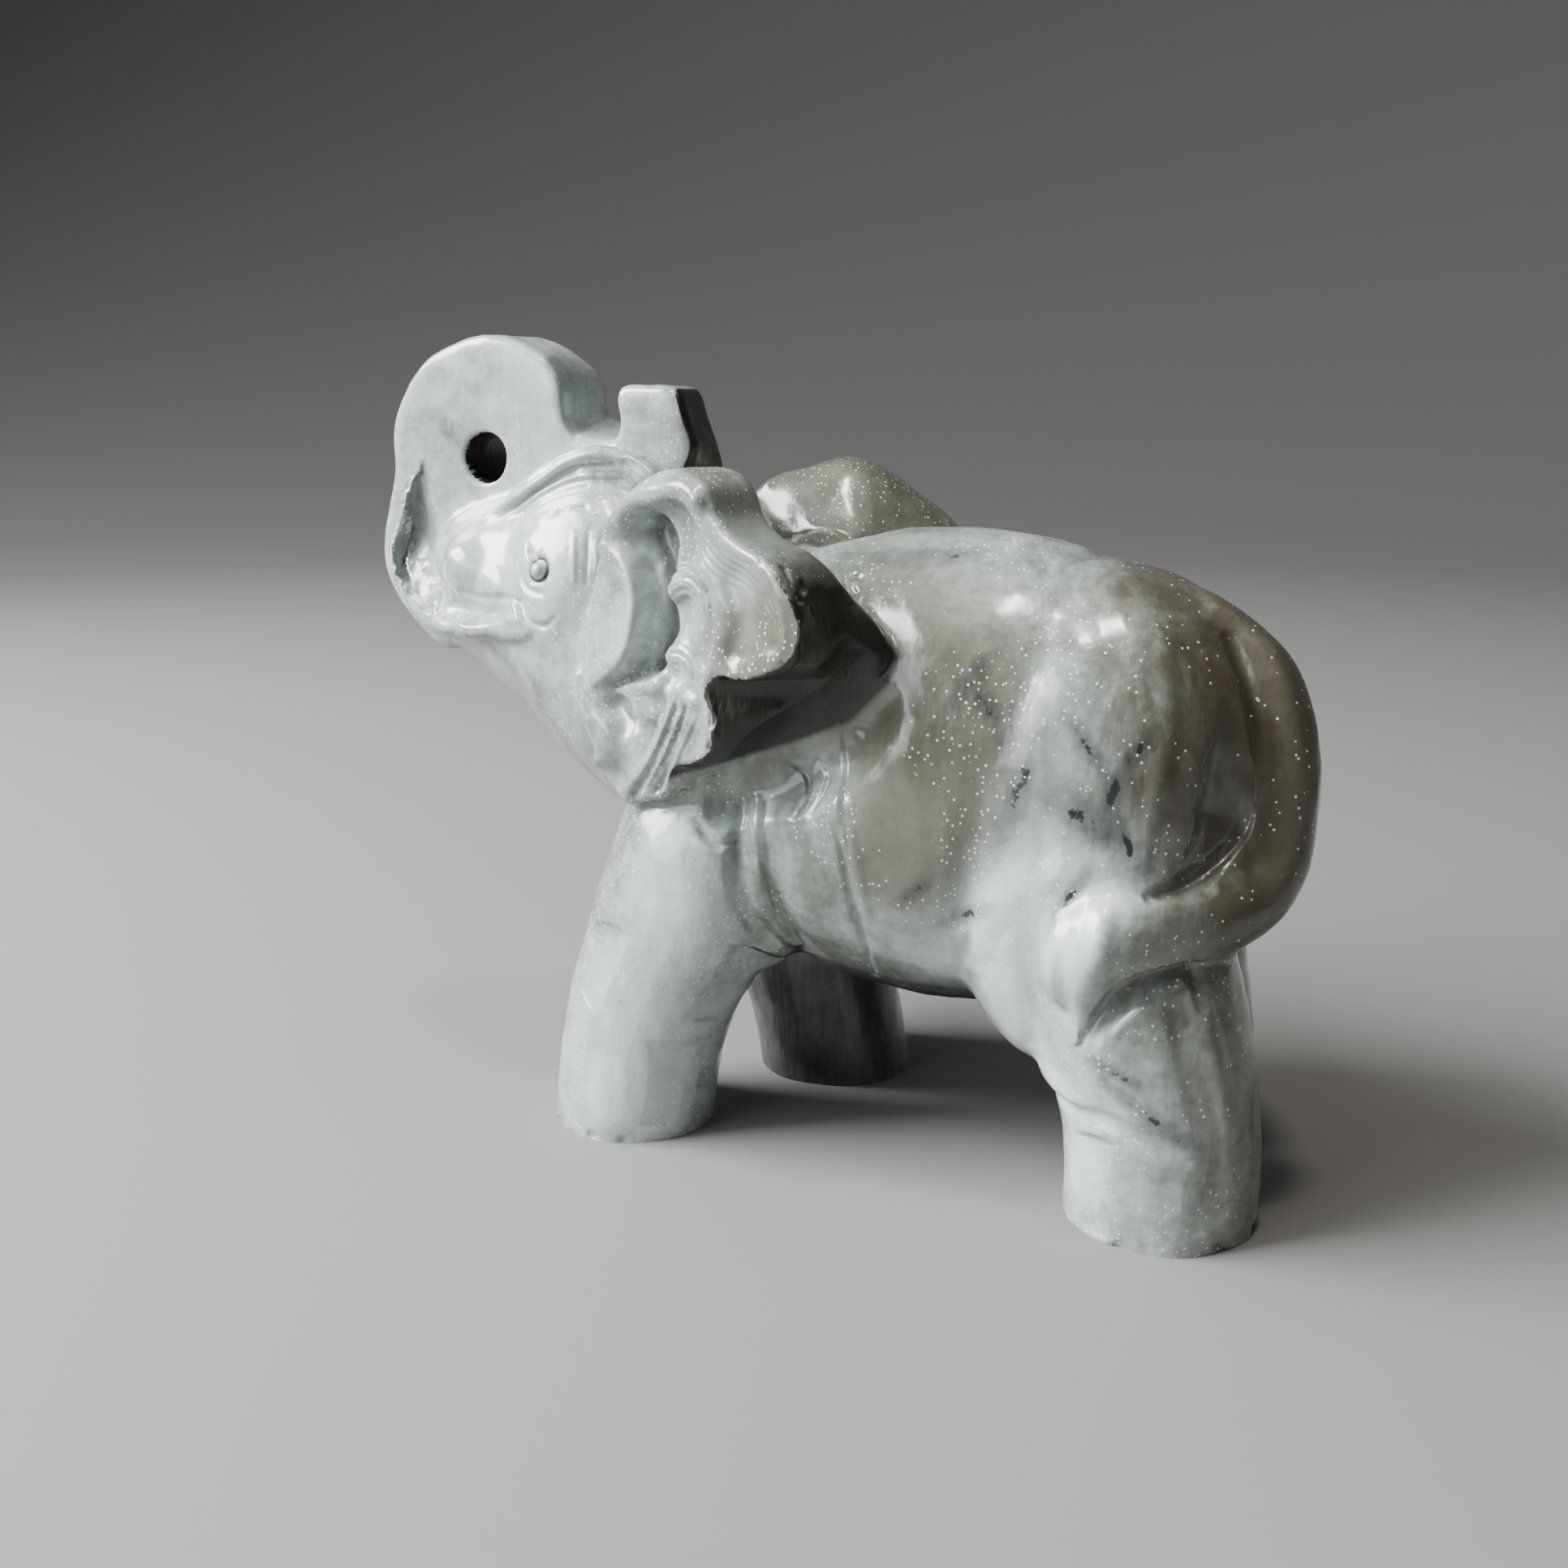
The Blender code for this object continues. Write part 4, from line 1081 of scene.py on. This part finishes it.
def polishedStone():
    paint = Paint("polishedStone")
    where = paint.node("ShaderNodeTexCoord", None, None, 3)
    parts = paint.node("ShaderNodeSeparateXYZ", None, {0: where})
    along = Socket(paint, parts.link.node.outputs[1])
    height = Socket(paint, parts.link.node.outputs[2])
    # mottling: big clouds, small clouds and a fine grain, with passages of pale and of olive stone
    clouds = paint.noise(where, 60, 3, 0.6, 0.8)
    patches = paint.noise(where, 190, 5, 0.62, 1.2)
    grainy = paint.noise(where, 1500, 2, 0.6)
    tone = clouds * 0.5 + patches * 0.33 + grainy * 0.17 + paint.attribute("pale") * 0.16 - 0.06
    colour = paint.mix(paint.span(tone, 0.38, 0.58), stoneFinish["mid"], stoneFinish["pale"])
    colour = paint.mix(paint.span(tone, 0.43, 0.33) * 0.7, colour, stoneFinish["dark"])
    # palest where the pale passages are strongest: partly painted sheen
    colour = paint.mix(paint.span(paint.attribute("pale") + (patches - 0.5) * 0.6, 0.7, 1.1) * 0.75,
                       colour, stoneFinish["palest"])
    olive = paint.span(paint.attribute("olive") + (patches - 0.5) * 0.8, 0.15, 0.9)
    colour = paint.mix(olive * 0.85, colour, stoneFinish["oliveGrey"])
    # brown over the rump and tail, in ragged layers: partly the stone's own olive brown, partly painted
    # shade
    layers = paint.node("ShaderNodeMapping", None, {"Vector": where, "Scale": (0.5, 1, 0.4)})
    ragged = clouds * 0.4 + paint.noise(layers, 260, 4, 0.65, 1) * 0.6 - 0.5
    browned = paint.span(along + height * 0.35 + ragged * 0.03, 0.034, 0.045)
    browned = browned * (1 - paint.attribute("pale") * 0.8)
    colour = paint.mix(browned * 0.9, colour, stoneFinish["brown"])
    # dark veins, each a long blob whose edge is broken up
    rough = paint.noise(where, 900, 3, 0.7) - 0.5
    veinField = None
    for x, y, z, length, width, slant in veins:
        spot = paint.node("ShaderNodeMapping", {"vector_type": "TEXTURE"},
                          {"Vector": where, "Location": tuple(place(x, y, z)),
                           "Rotation": (math.radians(slant), 0, 0),
                           "Scale": (5 * mm, length * 0.65 * mm, width * 0.65 * mm)})
        far = paint.node("ShaderNodeVectorMath", {"operation": "LENGTH"}, {0: spot}, 1)
        veinField = far if veinField is None else veinField.math("MINIMUM", far)
    veined = paint.span(veinField + rough * 4.5, 1.1, 0.2)
    smudge = paint.span(veinField + rough * 3, 3.4, 0.8) * 0.5
    flecks = paint.span(paint.noise(where, 460, 3, 0.8, 2.5), 0.31, 0.25)
    colour = paint.mix(veined.math("MAXIMUM", flecks * 0.8).math("MAXIMUM", smudge), colour,
                       stoneFinish["fleck"])
    # white specks, in drifts
    cells = paint.node("ShaderNodeTexVoronoi", None,
                       {"Vector": where, "Scale": 1 / (stoneFinish["speckPitch"] * mm),
                        "Randomness": 0.85})
    chance = paint.node("ShaderNodeSeparateColor", None, {0: Socket(paint, cells.link.node.outputs[1])})
    drift = paint.span(paint.noise(where, 130, 2, 0.5), 0.42, 0.54)
    drift = drift * paint.span(along, -0.036, -0.02, 0.45, 1)
    drift = drift * (1 - browned * 0.7)
    few = paint.span(chance + drift * 0.85, 1.0, 1.05)
    size = stoneFinish["speckSize"] / stoneFinish["speckPitch"]
    specks = paint.span(cells, size, size * 0.6) * few
    colour = paint.mix(specks * 0.85, colour, stoneFinish["speck"])
    # darkening of the walls and hollows, mostly painted shade, with the rough dull stone of the ears'
    # back walls and fine upright tool lines
    shadeAndDirt = paint.attribute("shadeAndDirt")
    lines = paint.node("ShaderNodeMapping", None, {"Vector": where, "Scale": (1, 1, 0.1)})
    marks = paint.noise(lines, 2600, 2, 0.5)
    shadedAndDull = paint.span(shadeAndDirt + (patches - 0.5) * 0.5 * shadeAndDirt + (marks - 0.5) * 0.3 * shadeAndDirt, 0.08, 0.75)
    colour = paint.mix(shadedAndDull, colour, stoneFinish["shadeAndDirt"])
    paint.feed(paint.shader.inputs["Base Color"], colour)
    # polish, duller in the specks, and the marks of the tool
    scuffs = paint.noise(where, 320, 2, 0.7)
    paint.feed(paint.shader.inputs["Roughness"],
               paint.span(scuffs, 0.3, 0.75, 0.2, 0.42) + specks * 0.3 + shadedAndDull * 0.15)
    relief = marks * (0.4 + shadeAndDirt) + paint.noise(where, 620, 2, 0.55) * 1.4
    bump = paint.node("ShaderNodeBump", None, {"Strength": 0.7, "Distance": 0.07 * mm, "Height": relief})
    paint.feed(paint.shader.inputs["Normal"], bump)
    paint.feed(paint.shader.inputs["Coat Weight"], 0.85 - shadedAndDull * 0.6)
    paint.shader.inputs["Coat Roughness"].default_value = 0.15
    return paint.material


def paleFloor():
    paint = Paint("paleFloor")
    paint.shader.inputs["Base Color"].default_value = stage["floorColour"]
    paint.shader.inputs["Roughness"].default_value = stage["floorRoughness"]
    return paint.material


stage = {"floorRadius": 0.5, "bend": 0.6, "steps": 12, "wall": 0.4, "floorRoughness": 0.75,
    "floorColour": (0.215, 0.208, 0.198, 1), "camera": (0.1159, 0.0514, 0.0560), "pitch": 13.07,
    "heading": 25.0, "lens": 37.4}


# A round floor whose edge bends up into a wall, so no horizon shows.
def addFloor():
    deselectAll()
    bpy.ops.mesh.primitive_circle_add(vertices=128, radius=stage["floorRadius"], fill_type="NGON")
    floor = bpy.context.object
    floor.name = "floor"
    setMode("EDIT")
    bpy.ops.mesh.select_all(action="SELECT")
    bpy.ops.mesh.select_mode(type="EDGE")
    bpy.ops.mesh.region_to_loop()
    radius = stage["floorRadius"]
    for step in range(1, stage["steps"] + 1):
        before, turn = (math.radians(90 * at / stage["steps"]) for at in (step - 1, step))
        newRadius = stage["floorRadius"] + stage["bend"] * math.sin(turn)
        rise = stage["bend"] * (math.cos(before) - math.cos(turn))
        bpy.ops.mesh.extrude_region_move(TRANSFORM_OT_translate={"value": (0, 0, rise)})
        growth = newRadius / radius
        bpy.ops.transform.resize(value=(growth, growth, 1), center_override=(0, 0, 0))
        radius = newRadius
    bpy.ops.mesh.extrude_region_move(TRANSFORM_OT_translate={"value": (0, 0, stage["wall"])})
    setMode("OBJECT")
    bpy.ops.object.shade_smooth()
    floor.data.materials.append(paleFloor())


def addCamera():
    bpy.ops.object.camera_add(location=stage["camera"])
    camera = bpy.context.object
    heading, pitch = math.radians(stage["heading"]), math.radians(stage["pitch"])
    ahead = Vector((-math.cos(heading) * math.cos(pitch), -math.sin(heading) * math.cos(pitch),
                    -math.sin(pitch)))
    camera.rotation_euler = ahead.to_track_quat("-Z", "Y").to_euler()
    camera.data.lens = stage["lens"]
    camera.data.sensor_width = 36
    camera.data.clip_start = 0.005
    bpy.context.scene.camera = camera


lamps = {
    "window": {"from": (0.17, -0.32, 0.33), "size": 0.30, "power": 9.6, "colour": (0.92, 0.97, 1)},
    "windowEdge": {"from": (0.31, -0.2, 0.19), "size": 0.24, "power": 0.8, "colour": (0.92, 0.97, 1)},
    "ceiling": {"from": (0, 0, 0.95), "size": 0.8, "power": 1.8, "colour": (1, 0.99, 0.97)},
    "high": {"from": (0.085, 0.03, 0.62), "size": 0.06, "power": 1.1, "colour": (1, 0.95, 0.88)},
}
room = {"aim": (0, 0, 0.03), "colour": (0.75, 0.74, 0.72, 1), "strength": 0.02}


def addLights():
    for name, lamp in lamps.items():
        bpy.ops.object.light_add(type="AREA", location=lamp["from"])
        light = bpy.context.object
        light.name = name
        towards = Vector(room["aim"]) - light.location
        light.rotation_euler = towards.to_track_quat("-Z", "Y").to_euler()
        light.data.size = lamp["size"]
        light.data.energy = lamp["power"]
        light.data.color = lamp["colour"]
    world = bpy.data.worlds.new("softRoom")
    world.use_nodes = True
    air = world.node_tree.nodes["Background"]
    air.inputs["Color"].default_value = room["colour"]
    air.inputs["Strength"].default_value = room["strength"]
    bpy.context.scene.world = world


elephant = modelElephant()
elephant.data.materials.clear()
elephant.data.materials.append(polishedStone())
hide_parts("elephant")
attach(elephant, "root")
addFloor()
addCamera()
addLights()
